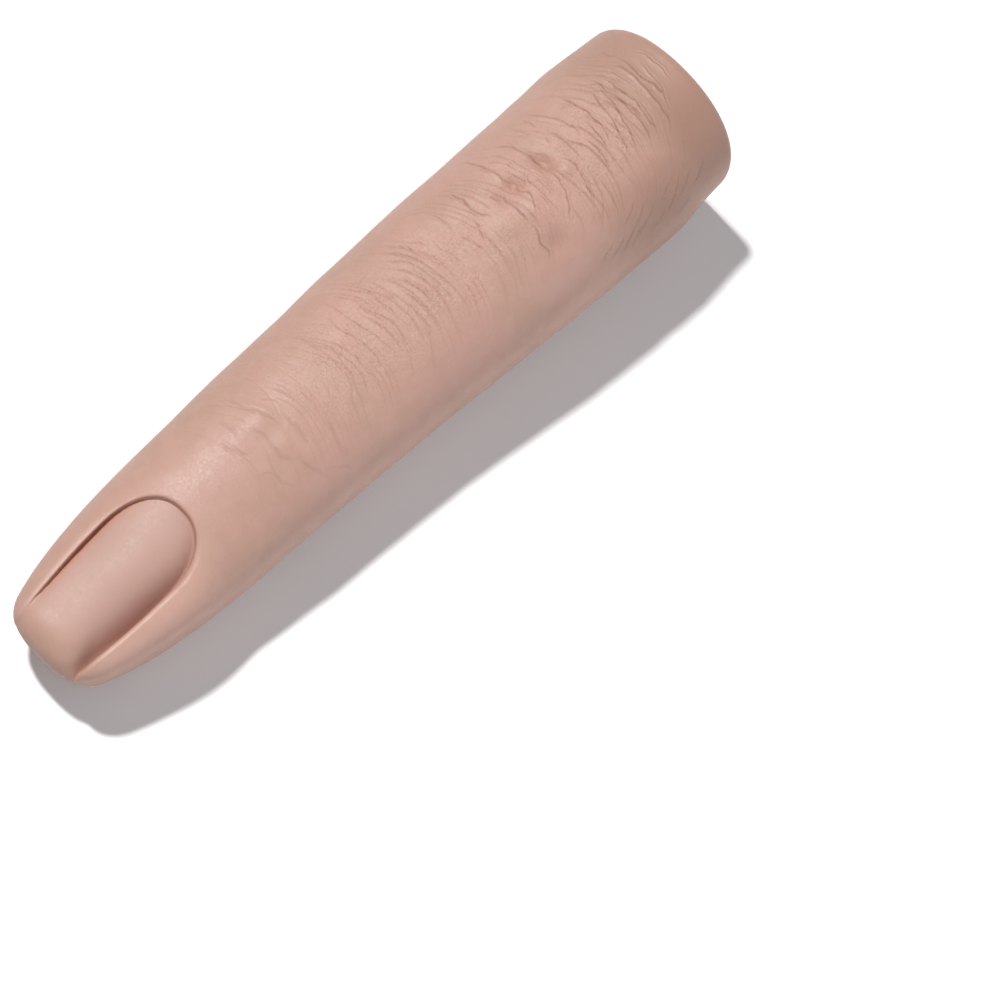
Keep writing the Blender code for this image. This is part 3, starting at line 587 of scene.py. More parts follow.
FOCAL_PIXELS = CAMERA_DISTANCE * CAMERA_PIXELS_PER_METRE
CAMERA_PLACE, CAMERA_RIGHT, CAMERA_UP, CAMERA_BACK = camera_frame()


def pixels_of(points):
    """Where points lie in the photograph."""
    away = points - np.array(CAMERA_PLACE)
    scale = FOCAL_PIXELS / -(away @ np.array(CAMERA_BACK))
    right = away @ np.array(CAMERA_RIGHT) * scale
    up = away @ np.array(CAMERA_UP) * scale
    return np.stack([FRAME_PIXELS / 2 + right, FRAME_PIXELS / 2 - up], axis=-1)


# Shape of the skin


def curve_step(t, step, start, end, start_slope, end_slope):
    """A point of a smooth curve, a share t along one of its steps."""
    first = (1 + 2 * t) * (1 - t) ** 2 * start + t * (1 - t) ** 2 * step * start_slope
    second = t * t * (3 - 2 * t) * end + t * t * (t - 1) * step * end_slope
    return first + second


def smooth_curve(places, values):
    """A function through the given points that never overshoots them."""
    places = np.array(places, float)
    values = np.array(values, float)
    slopes = np.diff(values) / np.diff(places)
    product = slopes[:-1] * slopes[1:]
    total = slopes[:-1] + slopes[1:]
    inner = np.where(product > 0, 2 * product / np.where(total == 0, 1, total), 0)
    tangents = np.concatenate([slopes[:1], inner, slopes[-1:]])

    def at(place):
        low = np.clip(np.searchsorted(places, place) - 1, 0, len(places) - 2)
        step = places[low + 1] - places[low]
        t = np.clip((place - places[low]) / step, 0, 1)
        return curve_step(t, step, values[low], values[low + 1], tangents[low], tangents[low + 1])

    return at


def smooth_step(value):
    value = np.clip(value, 0, 1)
    return value * value * (3 - 2 * value)


def between(value, low, high):
    """From 0 at low to 1 at high, smoothly. low may be the larger."""
    return smooth_step((value - low) / (high - low))


def bell(distance, spread):
    """From 1 at no distance down to 0 over about twice the spread."""
    return np.exp(-((distance / spread) ** 2))


def skin_rows():
    """The skin's shape tables as real sizes, measured back from the fingertip."""
    lengths = (
        (0, DISTAL_LENGTH, DISTAL_SHARES),
        (DISTAL_LENGTH, MIDDLE_LENGTH, MIDDLE_SHARES),
        (DISTAL_LENGTH + MIDDLE_LENGTH, PROXIMAL_LENGTH, PROXIMAL_SHARES),
    )
    rows = []
    for start, length, shares in lengths:
        for station, wide, *heights in shares:
            heights = [height * KNUCKLE_HEIGHT for height in heights]
            rows.append((start + station * length, wide * KNUCKLE_WIDTH / 2, *heights))
    return rows


SKIN_ROWS = skin_rows()
STATIONS = [row[0] for row in SKIN_ROWS]
HALF_WIDTH, MIDDLE_Z, TOP_Z, UNDER_Z = (
    smooth_curve(STATIONS, values) for values in list(zip(*SKIN_ROWS))[1:]
)
SWAY_Y = smooth_curve(*zip(*SWAY))
FINE_STRENGTH = smooth_curve(*zip(*FINE_ZONES))
GRAIN_STRENGTH = smooth_curve(*zip(*GRAIN_ZONES))


def nose_setback(station, opened_down):
    """How far the underside of the fingertip lies back."""
    fade = 1 - smooth_step(station / NOSE_SETBACK_LENGTH)
    return NOSE_SETBACK * fade * opened_down**2


def outline(station, inset=0.0):
    """The skin's cross-section, with its points closer together on the back.

    Returns the ring, from +Y upwards, and each point's distance from the middle of the back.
    """
    angles = np.linspace(0, 2 * math.pi, OUTLINE_COUNT + 1)
    power = 2 / SKIN_ROUNDNESS
    across = np.sign(np.cos(angles)) * np.abs(np.cos(angles)) ** power
    up = np.sign(np.sin(angles)) * np.abs(np.sin(angles)) ** power
    half, middle = HALF_WIDTH(station), MIDDLE_Z(station)
    above = TOP_Z(station) - middle - inset
    below = middle - UNDER_Z(station) - inset
    y = (half - inset) * across
    z = np.maximum(middle + np.where(up > 0, above, below) * up, inset)
    gone = np.concatenate([[0], np.cumsum(np.hypot(np.diff(y), np.diff(z)))])
    top = gone[OUTLINE_COUNT // 4]
    share = np.arange(AROUND_COUNT) / AROUND_COUNT
    turned = 2 * math.pi * (share - top / gone[-1])
    place = (share - BACK_CROWDING / (2 * math.pi) * np.sin(turned)) % 1 * gone[-1]
    setback = nose_setback(station, np.clip(-np.interp(place, gone, up), 0, 1))
    x = TIP_X + station + setback
    sway = SWAY_Y(station) * (1 - inset / PLUG_WALL)
    ring = np.stack([x, np.interp(place, gone, y) + sway, np.interp(place, gone, z)], axis=1)
    from_top = top - place
    from_top = np.where(from_top < -gone[-1] / 2, from_top + gone[-1], from_top)
    return ring, from_top


# The fingertip, whose nail bed and slot are cut from a field of distances


def nail_side(station):
    """The nail bed's half width, before its rounded end."""
    straight = NAIL_LENGTH - NAIL_END_LENGTH
    spread = np.sin(math.pi / 2 * np.clip(station / straight, 0, 1))
    return NAIL_FRONT_WIDTH / 2 + (NAIL_WIDTH - NAIL_FRONT_WIDTH) / 2 * spread


def nail_field(station, y):
    """Negative inside the nail bed's outline, seen from above."""
    y = y - NAIL_SHIFT * station / NAIL_LENGTH
    straight = NAIL_LENGTH - NAIL_END_LENGTH
    past = np.clip((station - straight) / NAIL_END_LENGTH, 0, None)
    across = np.abs(y) / nail_side(station)
    return (past**NAIL_ROUNDNESS + across**NAIL_ROUNDNESS) ** (1 / NAIL_ROUNDNESS) - 1


def by_side(y, *pairs):
    """Each pair's value, from the +Y side's to the -Y side's across the nail."""
    side = between(y, NAIL_WIDTH / 2, -NAIL_WIDTH / 2)
    return [plus + (minus - plus) * side for plus, minus in pairs]


def bed_depth(station, y):
    """How far the nail bed lies under the skin's surface."""
    near_edge = np.clip(nail_field(station, y) + 1, 0, BED_FIELD_LIMIT)
    ramp = smooth_step((station - NAIL_START) / NAIL_RAMP_LENGTH)
    lead, length, drop = by_side(y, NAIL_EDGE_LEAD, NAIL_EDGE_RAMP, BED_EDGE_DROP)
    edge_ramp = smooth_step((station + lead) / length)
    root = smooth_step((station - NAIL_LENGTH / 2) / (NAIL_LENGTH / 2))
    drop = drop * (1 - (1 - BED_ROOT_SHARE) * root)
    return ramp * BED_CENTRE_DEPTH + edge_ramp * drop * near_edge**BED_EDGE_POWER


def distance_like(field, step):
    """A field scaled so that it grows at an even rate away from its zero level."""
    slope = np.sqrt(sum(g * g for g in np.gradient(field, step)))
    return field / np.maximum(slope, np.percentile(slope, FLAT_SLOPE_PERCENT))


def smooth_max(first, second, radius):
    """The larger of two fields, with the edge where they cross rounded off."""
    share = np.clip(0.5 + (first - second) / (4 * radius), 0, 1)
    return first * share + second * (1 - share) + 2 * radius * share * (1 - share)


def skin_field(x, y, z, squarer):
    """Negative inside the skin, and zero on it. squarer is the -Y shoulder's share."""
    station = x - TIP_X
    for _ in range(2):
        middle = MIDDLE_Z(np.maximum(station, 0))
        below = middle - UNDER_Z(np.maximum(station, 0))
        down = np.clip((middle - z) / below, 0, 1)
        station = x - TIP_X - nose_setback(station, down)
    held = np.maximum(station, 0)
    middle = MIDDLE_Z(held)
    tall = np.where(z > middle, TOP_Z(held) - middle, middle - UNDER_Z(held))
    across = np.abs(y) / HALF_WIDTH(held)
    up = np.abs(z - middle) / tall
    squarer = squarer * between(z - middle, -MILLIMETRE, MILLIMETRE)
    power = SKIN_ROUNDNESS + (SHOULDER_ROUNDNESS - SKIN_ROUNDNESS) * squarer
    opened = (across**power + up**power) ** (1 / power)
    setback = NOSE_SKEW * y + NOSE_CORNER * between(y, *NOSE_CORNER_Y)
    closeness = np.clip(1 - (station - setback) / NOSE_LENGTH, 0, None)
    return (opened**NOSE_ROUNDNESS + closeness**NOSE_ROUNDNESS) ** (1 / NOSE_ROUNDNESS) - 1


def lip_share(station):
    """How clear the nail's lip is, as a share: it fades at the front and round the root."""
    return between(station, 0, NAIL_RAMP_LENGTH) * between(station, LIP_END, LIP_END - LIP_FADE)


def fold_rise(station, y, outside):
    """How far the folds beside the nail bed, and its lip, stand proud of the skin."""
    rise, share = by_side(y, FOLD_RISE, FOLD_SHARE)
    to_side = HALF_WIDTH(np.maximum(station, 0)) - nail_side(station)
    distance = np.minimum(share * to_side, FOLD_FURTHEST)
    fade = between(station, FOLD_ROOT, FOLD_ROOT - FOLD_ROOT_FADE)
    fade = fade * between(station, -NAIL_START, NAIL_RAMP_LENGTH)
    lip = LIP_RISE * lip_share(station) * bell(outside - LIP_DISTANCE, LIP_SPREAD)
    return rise * fade * bell(outside - distance, FOLD_SPREAD) + lip


def shoulder_share(station, y, outside):
    """How square the shoulder beside the nail is, on its -Y side, as a share."""
    share = between(y, NAIL_FRONT_WIDTH / 4, -NAIL_FRONT_WIDTH / 2)
    share = share * between(outside, *SHOULDER_EDGE)
    return share * between(station, SHOULDER_END, SHOULDER_END - SHOULDER_FADE)


def tan_and_shade_share(points):
    """How much tan and painted shade the skin has: tan towards the rear, and painted shade most on
    its -Y side and low on its +Y side.
    """
    station, y = points[..., 0] - TIP_X, points[..., 1]
    share = TAN_REAR_LEAST + (1 - TAN_REAR_LEAST) * between(y, *TAN_SHADE_REAR_Y)
    rear = between(station, *TAN_REAR) * share
    side = TAN_SHADE_SIDE_SHARE * between(station, *TAN_SHADE_SIDE) * between(y, *TAN_SHADE_SIDE_Y)
    low = np.arctan2(y, points[..., 2] - KNUCKLE_HEIGHT / 3)
    return np.maximum(np.maximum(rear, side), LOW_SHADE_SHARE * between(low, *LOW_SHADE_ANGLES))


def tip_fields():
    """The grid's low corner, and on it the fingertip's field and those that it is made from.

    They are the fingertip, the skin without its nail, and the height above the nail bed.
    """
    margin = NET_MARGIN * NET_STEP
    low = np.array([TIP_X - margin, -KNUCKLE_WIDTH / 2, -margin])
    past_seam = TIP_X + NAIL_SEAM + NET_PAST_SEAM * NET_STEP
    high = np.array([past_seam, KNUCKLE_WIDTH / 2, KNUCKLE_HEIGHT])
    axes = [np.arange(a, b, NET_STEP) for a, b in zip(low, high)]
    x, y, z = np.meshgrid(*axes, indexing="ij")
    flat_x, flat_y = np.meshgrid(axes[0], axes[1], indexing="ij")
    station = flat_x - TIP_X
    outside = distance_like(nail_field(station, flat_y), NET_STEP)
    upper = between(z, BED_FOOT_Z, BED_FOOT_Z + BED_FOOT_FADE)
    squarer = shoulder_share(station, flat_y, outside)
    plain = distance_like(skin_field(x, y, z, squarer[..., None]), NET_STEP)
    above = plain + bed_depth(station, flat_y)[..., None] * upper
    skin = plain - fold_rise(station, flat_y, outside)[..., None] * upper
    skin = np.maximum(skin, -z)
    outside = outside[..., None]
    pocket = smooth_max(outside, -above, SLOT_RADIUS)
    reach, length = by_side(flat_y, SLOT_REACH, NAIL_EDGE_RAMP)
    opened = between(station, NAIL_START, NAIL_START + length)
    reach = (reach * opened - SLOT_REACH[0] * (1 - opened))[..., None]
    half = SLOT_HEIGHT / 2
    slot = smooth_max(outside - reach, np.abs(above - half) - half, SLOT_RADIUS / 2)
    void = -smooth_max(-pocket, -slot, SLOT_RADIUS)
    return low, smooth_max(skin, -void, LIP_RADIUS), plain, above


def at_points(values, low, points):
    """A sampled field's values at points between its samples."""
    place = (points - low) / NET_STEP
    whole = np.clip(np.floor(place).astype(int), 0, np.array(values.shape) - 2)
    share = place - whole
    total = np.zeros(len(points))
    for corner in itertools.product((0, 1), repeat=3):
        weight = np.prod(np.where(corner, share, 1 - share), axis=1)
        total += weight * values[tuple((whole + corner).T)]
    return total


def surface_net(values, low, step):
    """Points and four-sided faces round the region where a sampled field is below zero."""
    inside = values < 0
    cells = np.array(values.shape) - 1
    corners = sum(
        inside[i : i + cells[0], j : j + cells[1], k : k + cells[2]].astype(int)
        for i, j, k in itertools.product((0, 1), repeat=3)
    )
    mixed = (corners > 0) & (corners < 8)
    number = np.full(cells, -1)
    number[mixed] = np.arange(mixed.sum())
    place = np.argwhere(mixed)
    total = np.zeros(place.shape)
    hits = np.zeros(len(place))
    for axis in range(3):
        for sides in itertools.product((0, 1), repeat=2):
            start = place.copy()
            start[:, [(axis + 1) % 3, (axis + 2) % 3]] += sides
            end = start.copy()
            end[:, axis] += 1
            a, b = values[tuple(start.T)], values[tuple(end.T)]
            crossed = (a < 0) != (b < 0)
            point = start.astype(float)
            point[:, axis] += a / np.where(crossed, a - b, 1)
            total[crossed] += point[crossed]
            hits[crossed] += 1
    points = low + step * total / hits[:, None]
    faces = []
    for axis in range(3):
        u, v = (axis + 1) % 3, (axis + 2) % 3
        start = np.moveaxis(inside, axis, 0)[:-1]
        end = np.moveaxis(inside, axis, 0)[1:]
        edge = np.argwhere(np.moveaxis(start != end, 0, axis))
        across = edge[:, [u, v]]
        edge = edge[np.all((across > 0) & (across < cells[[u, v]]), axis=1)]
        around = []
        for back_u, back_v in ((0, 0), (1, 0), (1, 1), (0, 1)):
            cell = edge.copy()
            cell[:, u] -= back_u
            cell[:, v] -= back_v
            around.append(number[tuple(cell.T)])
        quads = np.stack(around, axis=1)
        faces.append(np.where(inside[tuple(edge.T)][:, None], quads, quads[:, ::-1]))
    return points, np.concatenate(faces)


# Relief of the back: creases, pads and unevenness, with painted shade in their valleys and hollows


def noise(seed, u, v):
    """Smooth random values from -1 to 1 over a plane, one unit apart."""
    table = np.random.default_rng(seed).uniform(-1, 1, (NOISE_SIZE, NOISE_SIZE))
    low_u, low_v = np.floor(u).astype(int), np.floor(v).astype(int)
    share_u, share_v = smooth_step(u - low_u), smooth_step(v - low_v)

    def at(step_u, step_v):
        return table[(low_u + step_u) % NOISE_SIZE, (low_v + step_v) % NOISE_SIZE]

    first = at(0, 0) * (1 - share_v) + at(0, 1) * share_v
    second = at(1, 0) * (1 - share_v) + at(1, 1) * share_v
    return first * (1 - share_u) + second * share_u


def ring_normals(rings):
    along = np.gradient(rings, axis=0)
    around = np.roll(rings, -1, axis=1) - np.roll(rings, 1, axis=1)
    normal = np.cross(around, along)
    return normal / np.linalg.norm(normal, axis=-1, keepdims=True)


class Back:
    """The skin's ring points by station and distance round, for placing relief on them."""

    def __init__(self, stations, rings, round_from_top):
        self.station = np.repeat(stations[:, None], AROUND_COUNT, axis=1)
        self.round = round_from_top
        self.half = np.max(np.abs(round_from_top), axis=1, keepdims=True)
        normals = ring_normals(rings)
        facing = np.sum(normals * (np.array(CAMERA_PLACE) - rings), axis=-1) > 0
        self.seen = np.argwhere(facing)
        self.seen_pixels = pixels_of(rings[facing])
        self.height = np.zeros(self.station.shape)
        # Painted shade in the creases and in the knuckle's hollows, as shares
        self.crease = np.zeros(self.station.shape)
        self.flush = np.zeros(self.station.shape)
        w = round_from_top / MILLIMETRE
        sides = between(w, *GRAIN_PLUS_SIDE) * between(w, *GRAIN_MINUS_SIDE)
        self.top_grain = GRAIN_STRENGTH(self.station) * sides

    def place(self, pixel):
        """Station and distance round of the point seen at a pixel of the photograph."""
        nearest = np.argmin(np.sum((self.seen_pixels - pixel) ** 2, axis=-1))
        row, column = self.seen[nearest]
        return self.station[row, column], self.round[row, column]

    def add_crease(self, pixels, depth, half_width):
        path = smooth_path([self.place(pixel) for pixel in np.reshape(pixels, (-1, 2))])
        margin = 3 * CREASE_BANK_SPREAD * half_width
        low, high = path.min(axis=0) - margin, path.max(axis=0) + margin
        along, around = self.station, self.round
        near = (along > low[0]) & (along < high[0]) & (around > low[1]) & (around < high[1])
        points = np.stack([along[near], around[near]], axis=-1)
        bumps = points / CREASE_WANDER_SIZE
        wander = np.stack([noise(seed, *bumps.T) for seed in WANDER_SEEDS], axis=-1)
        points = points + CREASE_WANDER * wander
        apart = np.linalg.norm(points[:, None] - path[None], axis=-1)
        nearest = np.argmin(apart, axis=1)
        gone = nearest / (len(path) - 1)
        fade = smooth_step(np.minimum(gone, 1 - gone) / CREASE_END_SHARE)
        fade = fade * (1 - CREASE_END_LEAST) + CREASE_END_LEAST
        valley, rise = crease_shape(np.min(apart, axis=1), half_width, fade)
        self.height[near] += depth * rise
        # The valley is painted darker as its shade, the more so the deeper the crease
        tinted = valley * min(1, depth / CREASE_FULL_SHADE_DEPTH)
        self.crease[near] = np.maximum(self.crease[near], tinted)

    def add_pad(self, pixel, height, radius):
        station, around = self.place(pixel)
        distance = np.hypot(self.station - station, self.round - around)
        self.height += height * bell(distance, radius)
        # A hollow is also painted darker, as its shade
        if height < 0:
            self.flush = np.maximum(self.flush, bell(distance, radius))

    def add_fine_creases(self, spacing, slant, depth, seed):
        s, w = self.station / MILLIMETRE, self.round / MILLIMETRE
        bowed = self.station + FINE_BOW * self.round**2 + slant * self.round
        phase = bowed / spacing
        for number, (share, along, around) in enumerate(FINE_WAVES):
            phase = phase + share * noise(seed + number, s / along, w / around)
        line = np.round(phase)
        broken = between(noise(seed + 2, line, w / FINE_BREAK_LENGTH), *FINE_BREAK)
        patch_along, patch_around = FINE_PATCH_SIZE
        patchy = between(noise(seed + 3, s / patch_along, w / patch_around), *FINE_PATCH)
        furthest, full = FINE_MINUS_SIDE
        furthest = furthest - FINE_LONGER * between(s, *FINE_LONGER_STATIONS)
        side = between(w, *FINE_PLUS_SIDE) * between(w, furthest, full)
        strength = FINE_STRENGTH(self.station) * side * broken * patchy
        valley = bell(phase - line, FINE_HALF_SHARE) * strength
        self.height -= depth * valley
        # Their valleys get painted shade too
        self.crease = np.maximum(self.crease, FINE_CREASE_SHADE * np.minimum(valley, 1))

    def add_unevenness(self):
        u, v = self.station / UNEVEN_SIZE, self.round / UNEVEN_SIZE
        fade = FINE_STRENGTH(self.station) * between(self.half - np.abs(self.round), *UNEVEN_FADE)
        first, second = UNEVEN_SEEDS
        self.height += UNEVENNESS * fade * (noise(first, u, v) + 0.5 * noise(second, 2 * u, 2 * v))

    def add_palm_creases(self):
        to_bottom = self.half - np.abs(self.round)
        reach = between(to_bottom, *PALM_REACH)
        for joint_x, offset, depth, half_width in PALM_CREASES:
            bowed = self.station - (joint_x - TIP_X + offset) - PALM_BOW * to_bottom**2
            valley, rise = crease_shape(bowed, half_width, reach)
            self.height += depth * rise
            # The palm creases' valleys get painted shade too
            self.crease = np.maximum(self.crease, valley)


def crease_shape(distance, half_width, share):
    """A crease's valley, and its height between raised banks, for a depth of one."""
    valley = bell(distance, half_width) * share
    bank = bell(distance, CREASE_BANK_SPREAD * half_width) * share
    return valley, CREASE_BANK * bank - valley


def smooth_path(points):
    """Points close together on a smooth curve through the given ones."""
    points = np.array(points)
    gone = np.concatenate([[0], np.cumsum(np.linalg.norm(np.diff(points, axis=0), axis=1))])
    fine = np.linspace(0, gone[-1], max(4, round(gone[-1] / PATH_STEP)))
    tangents = np.gradient(points, gone, axis=0)
    low = np.clip(np.searchsorted(gone, fine) - 1, 0, len(gone) - 2)
    step = (gone[low + 1] - gone[low])[:, None]
    t = (fine - gone[low])[:, None] / step
    return curve_step(t, step, points[low], points[low + 1], tangents[low], tangents[low + 1])


def add_relief(back):
    for creases, depth, half_width in CREASE_GROUPS:
        for pixels in creases:
            back.add_crease(pixels, depth, half_width)
    for pixel, height, radius in PADS:
        back.add_pad(pixel, height, radius)
    for layer in FINE_LAYERS:
        back.add_fine_creases(*layer)
    back.add_unevenness()
    back.add_palm_creases()


# Meshes


def placed(name, data):
    """A new object in the scene."""
    obj = bpy.data.objects.new(name, data)
    bpy.context.scene.collection.objects.link(obj)
    return obj


def mesh_piece(name, points, faces):
    mesh = bpy.data.meshes.new(name)
    mesh.from_pydata(points.tolist(), [], faces)
    mesh.update()
    return placed(name, mesh)


def give_attribute(obj, name, values):
    """Stores one number or one point for each of a mesh's points."""
    kind, key = ("FLOAT_VECTOR", "vector") if values.ndim == 2 else ("FLOAT", "value")
    attribute = obj.data.attributes.new(name, kind, "POINT")
    attribute.data.foreach_set(key, values.astype(np.float32).ravel())


def give_marks(obj, points, marks):
    """Stores each point's place at rest, and the marks that its colour follows."""
    give_attribute(obj, "rest", points)
    for mark, values in marks.items():
        give_attribute(obj, mark, values)


def grid_faces(rows):
    """Faces between rings of points, each ring closed on itself."""
    index = np.arange(rows * AROUND_COUNT).reshape(rows, AROUND_COUNT)
    after = np.roll(index, -1, axis=1)
    quads = np.stack([index[:-1], after[:-1], after[1:], index[1:]], axis=-1)
    return quads.reshape(-1, 4)[:, ::-1].tolist()


def station_rows():
    """Stations of the skin's rings from behind the nail to the rear rim, and the seams' rows."""
    ends = (NAIL_SEAM, MIDDLE_SEAM, ROOT_SEAM, FINGER_LENGTH - RIM_RADIUS)
    stations = [np.array([NAIL_SEAM])]
    rows = [0]
    for start, end in zip(ends[:-1], ends[1:]):
        stations.append(np.linspace(start, end, round((end - start) / RING_STEP) + 1)[1:])
        rows.append(rows[-1] + len(stations[-1]))
    return np.concatenate(stations), rows


def ring_grid(stations, insets):
    """Rings of the skin and each point's distance round from the middle of the back."""
    rings, tops = zip(*(outline(station, inset) for station, inset in zip(stations, insets)))
    return np.array(rings), np.array(tops)


def set_normals(obj, normals):
    obj.data.shade_smooth()
    obj.data.normals_split_custom_set_from_vertices(normals.tolist())


def eased(values, ends, share, times):
    """Each point's values moved towards its neighbours' mean, as far as its share says."""
    count = np.bincount(ends.ravel(), minlength=len(values))[:, None]
    for _ in range(times):
        total = np.zeros(values.shape)
        for first, second in (ends.T, ends.T[::-1]):
            for axis in range(3):
                total[:, axis] += np.bincount(first, values[second, axis], len(values))
        values = values + (total / count - values) * share[:, None]
    return values


def tip_mesh(field, low):
    """The fingertip's surface, cut off flat behind the nail."""
    net, faces = surface_net(field, low, NET_STEP)
    work = bmesh.new()
    whole = mesh_piece("tip_net", net, faces.tolist())
    work.from_mesh(whole.data)
    bpy.data.objects.remove(whole)
    everything = work.verts[:] + work.edges[:] + work.faces[:]
    plane = {"plane_co": (TIP_X + NAIL_SEAM, 0, 0), "plane_no": (1, 0, 0)}
    bmesh.ops.bisect_plane(work, geom=everything, clear_outer=True, **plane)
    bmesh.ops.edgeloop_fill(work, edges=[edge for edge in work.edges if edge.is_boundary])
    bmesh.ops.recalc_face_normals(work, faces=work.faces)
    mesh = bpy.data.meshes.new("skin_nail_end")
    work.to_mesh(mesh)
    work.free()
    return mesh


def from_outline(points):
    """How far points lie outside the nail bed's outline, seen from above."""
    return nail_field(points[:, 0] - TIP_X, points[:, 1]) * NAIL_WIDTH / 2


def nail_marks(points, outside, deep, height):
    """The marks of the bed, and round it of the painted shade, painted reddish glow and painted
    lip highlight.
    """
    station = points[:, 0] - TIP_X
    in_nail = between(points[:, 2], BED_FOOT_Z, BED_FOOT_Z + BED_FOOT_FADE)
    bed = between(outside, *BED_TINT_EDGE) * between(np.abs(height), *BED_TINT_HEIGHT)
    side = between(points[:, 1], NAIL_WIDTH / 8, -NAIL_WIDTH / 4)
    shaded = in_nail * bell(outside, SHADE_SPREAD + SHADE_WIDER * side)
    front = between(station, NAIL_LENGTH, NAIL_LENGTH - NAIL_END_LENGTH)
    # A painted highlight along the lip, and painted light on the -Y fold beside the bed
    lip = lip_share(station) * bell(outside - LIP_DISTANCE, LIP_SPREAD)
    fold = FOLD_LIGHT * side * between(station, *FOLD_LIGHT_STATIONS)
    fold = fold * bell(outside - FOLD_LIGHT_DISTANCE, FOLD_LIGHT_SPREAD)
    lip = np.maximum(lip, fold * between(outside, *FOLD_LIGHT_EDGE))
    return {
        "bed": in_nail * bed * between(station, *BED_TINT_STATIONS),
        "hollow_shade": shaded * side * between(deep, *HOLLOW_SHADE_DEPTHS),
        "slot_glow": shaded * (1 - side) * front * between(deep, *SLOT_GLOW_DEPTHS),
        "lip": in_nail * lip * between(deep, *LIP_LIGHT_DEPTHS),
    }


def nail_end_piece():
    """The skin from the fingertip to behind the nail."""
    low, field, plain, above = tip_fields()
    mesh = tip_mesh(field, low)
    obj = placed("skin_nail_end", mesh)
    points = np.array([vert.co for vert in mesh.vertices])
    ends = np.array([edge.vertices[:] for edge in mesh.edges])
    outside, deep = from_outline(points), -at_points(plain, low, points)
    in_slot = between(outside, *SLOT_INNER) * between(outside, *SLOT_OUTER)
    in_slot = in_slot * between(deep, *SLOT_DEPTHS) * between(points[:, 1], 0, -NAIL_WIDTH / 4)
    points = eased(points, ends, SLOT_EASE * in_slot, SLOT_EASE_TIMES)
    mesh.vertices.foreach_set("co", points.ravel())
    outside, deep = from_outline(points), -at_points(plain, low, points)
    give_marks(obj, points, nail_marks(points, outside, deep, at_points(above, low, points)))
    slope = np.stack([at_points(part, low, points) for part in np.gradient(field)], axis=1)
    normals = slope / np.linalg.norm(slope, axis=1, keepdims=True)
    calm = np.maximum(between(outside, *CALM_SPAN), in_slot)
    normals = eased(normals, ends, NORMAL_EASE * calm, NORMAL_EASE_TIMES)
    set_normals(obj, normals / np.linalg.norm(normals, axis=1, keepdims=True))
    return obj


def ring_piece(name, rings, normals, marks):
    """A stretch of the skin between two flat ends."""
    count = AROUND_COUNT
    last = len(rings) * count
    faces = grid_faces(len(rings)) + [list(range(count)), list(range(last - count, last))[::-1]]
    points = rings.reshape(-1, 3)
    obj = mesh_piece(name, points, faces)
    work = bmesh.new()
    work.from_mesh(obj.data)
    bmesh.ops.recalc_face_normals(work, faces=work.faces)
    work.to_mesh(obj.data)
    work.free()
    give_marks(obj, points, marks)
    set_normals(obj, normals.reshape(-1, 3))
    return obj


def rim_rings():
    """Rings of the rounded rear rim, the rear face and the recess that takes the plug."""
    rings = []
    for angle in np.linspace(0, math.pi / 2, RIM_STEPS + 1)[1:]:
        inset = RIM_RADIUS * (1 - math.cos(angle))
        rings.append((FINGER_LENGTH - RIM_RADIUS * (1 - math.sin(angle)), inset))
    for inset in np.linspace(RIM_RADIUS, PLUG_WALL - RECESS_EDGE, FACE_STEPS + 1)[1:]:
        rings.append((FINGER_LENGTH, inset))
    for angle in np.linspace(0, math.pi / 2, FACE_STEPS + 1)[1:]:
        inset = PLUG_WALL - RECESS_EDGE * (1 - math.sin(angle))
        rings.append((FINGER_LENGTH - RECESS_EDGE * (1 - math.cos(angle)), inset))
    rings.append((FINGER_LENGTH - PLUG_RECESS_DEPTH, PLUG_WALL))
    stations, insets = zip(*rings)
    return ring_grid(stations, insets)[0]


def make_skin():
    """The skin's four stretches, from the fingertip to the rear."""
    stations, rows = station_rows()
    rings, from_top = ring_grid(stations, np.zeros(len(stations)))
    back = Back(stations, rings, from_top)
    add_relief(back)
    fade = between(stations, NAIL_SEAM, NAIL_SEAM + 2 * MILLIMETRE)[:, None]
    rings = rings + ring_normals(rings) * (back.height * fade)[..., None]
    rings[..., 2] = np.maximum(rings[..., 2], 0)
    rim = rim_rings()
    rings = np.concatenate([rings, rim])
    bare = np.zeros(rim.shape[:2])
    marks = {
        "crease": np.concatenate([back.crease, bare]),
        "flush": np.concatenate([back.flush, bare]),
        "top_grain": np.concatenate([back.top_grain, bare]),
        "tan_and_shade": tan_and_shade_share(rings),
    }
    normals = ring_normals(rings)
    rows[-1] = len(rings) - 1
    pieces = [nail_end_piece()]
    names = ("skin_first_joint", "skin_knuckle", "skin_root")
    for name, first, last in zip(names, rows[:-1], rows[1:]):
        stretch = slice(first, last + 1)
        cut_marks = {mark: values[stretch].ravel() for mark, values in marks.items()}
        pieces.append(ring_piece(name, rings[stretch], normals[stretch], cut_marks))
    return pieces


# Materials


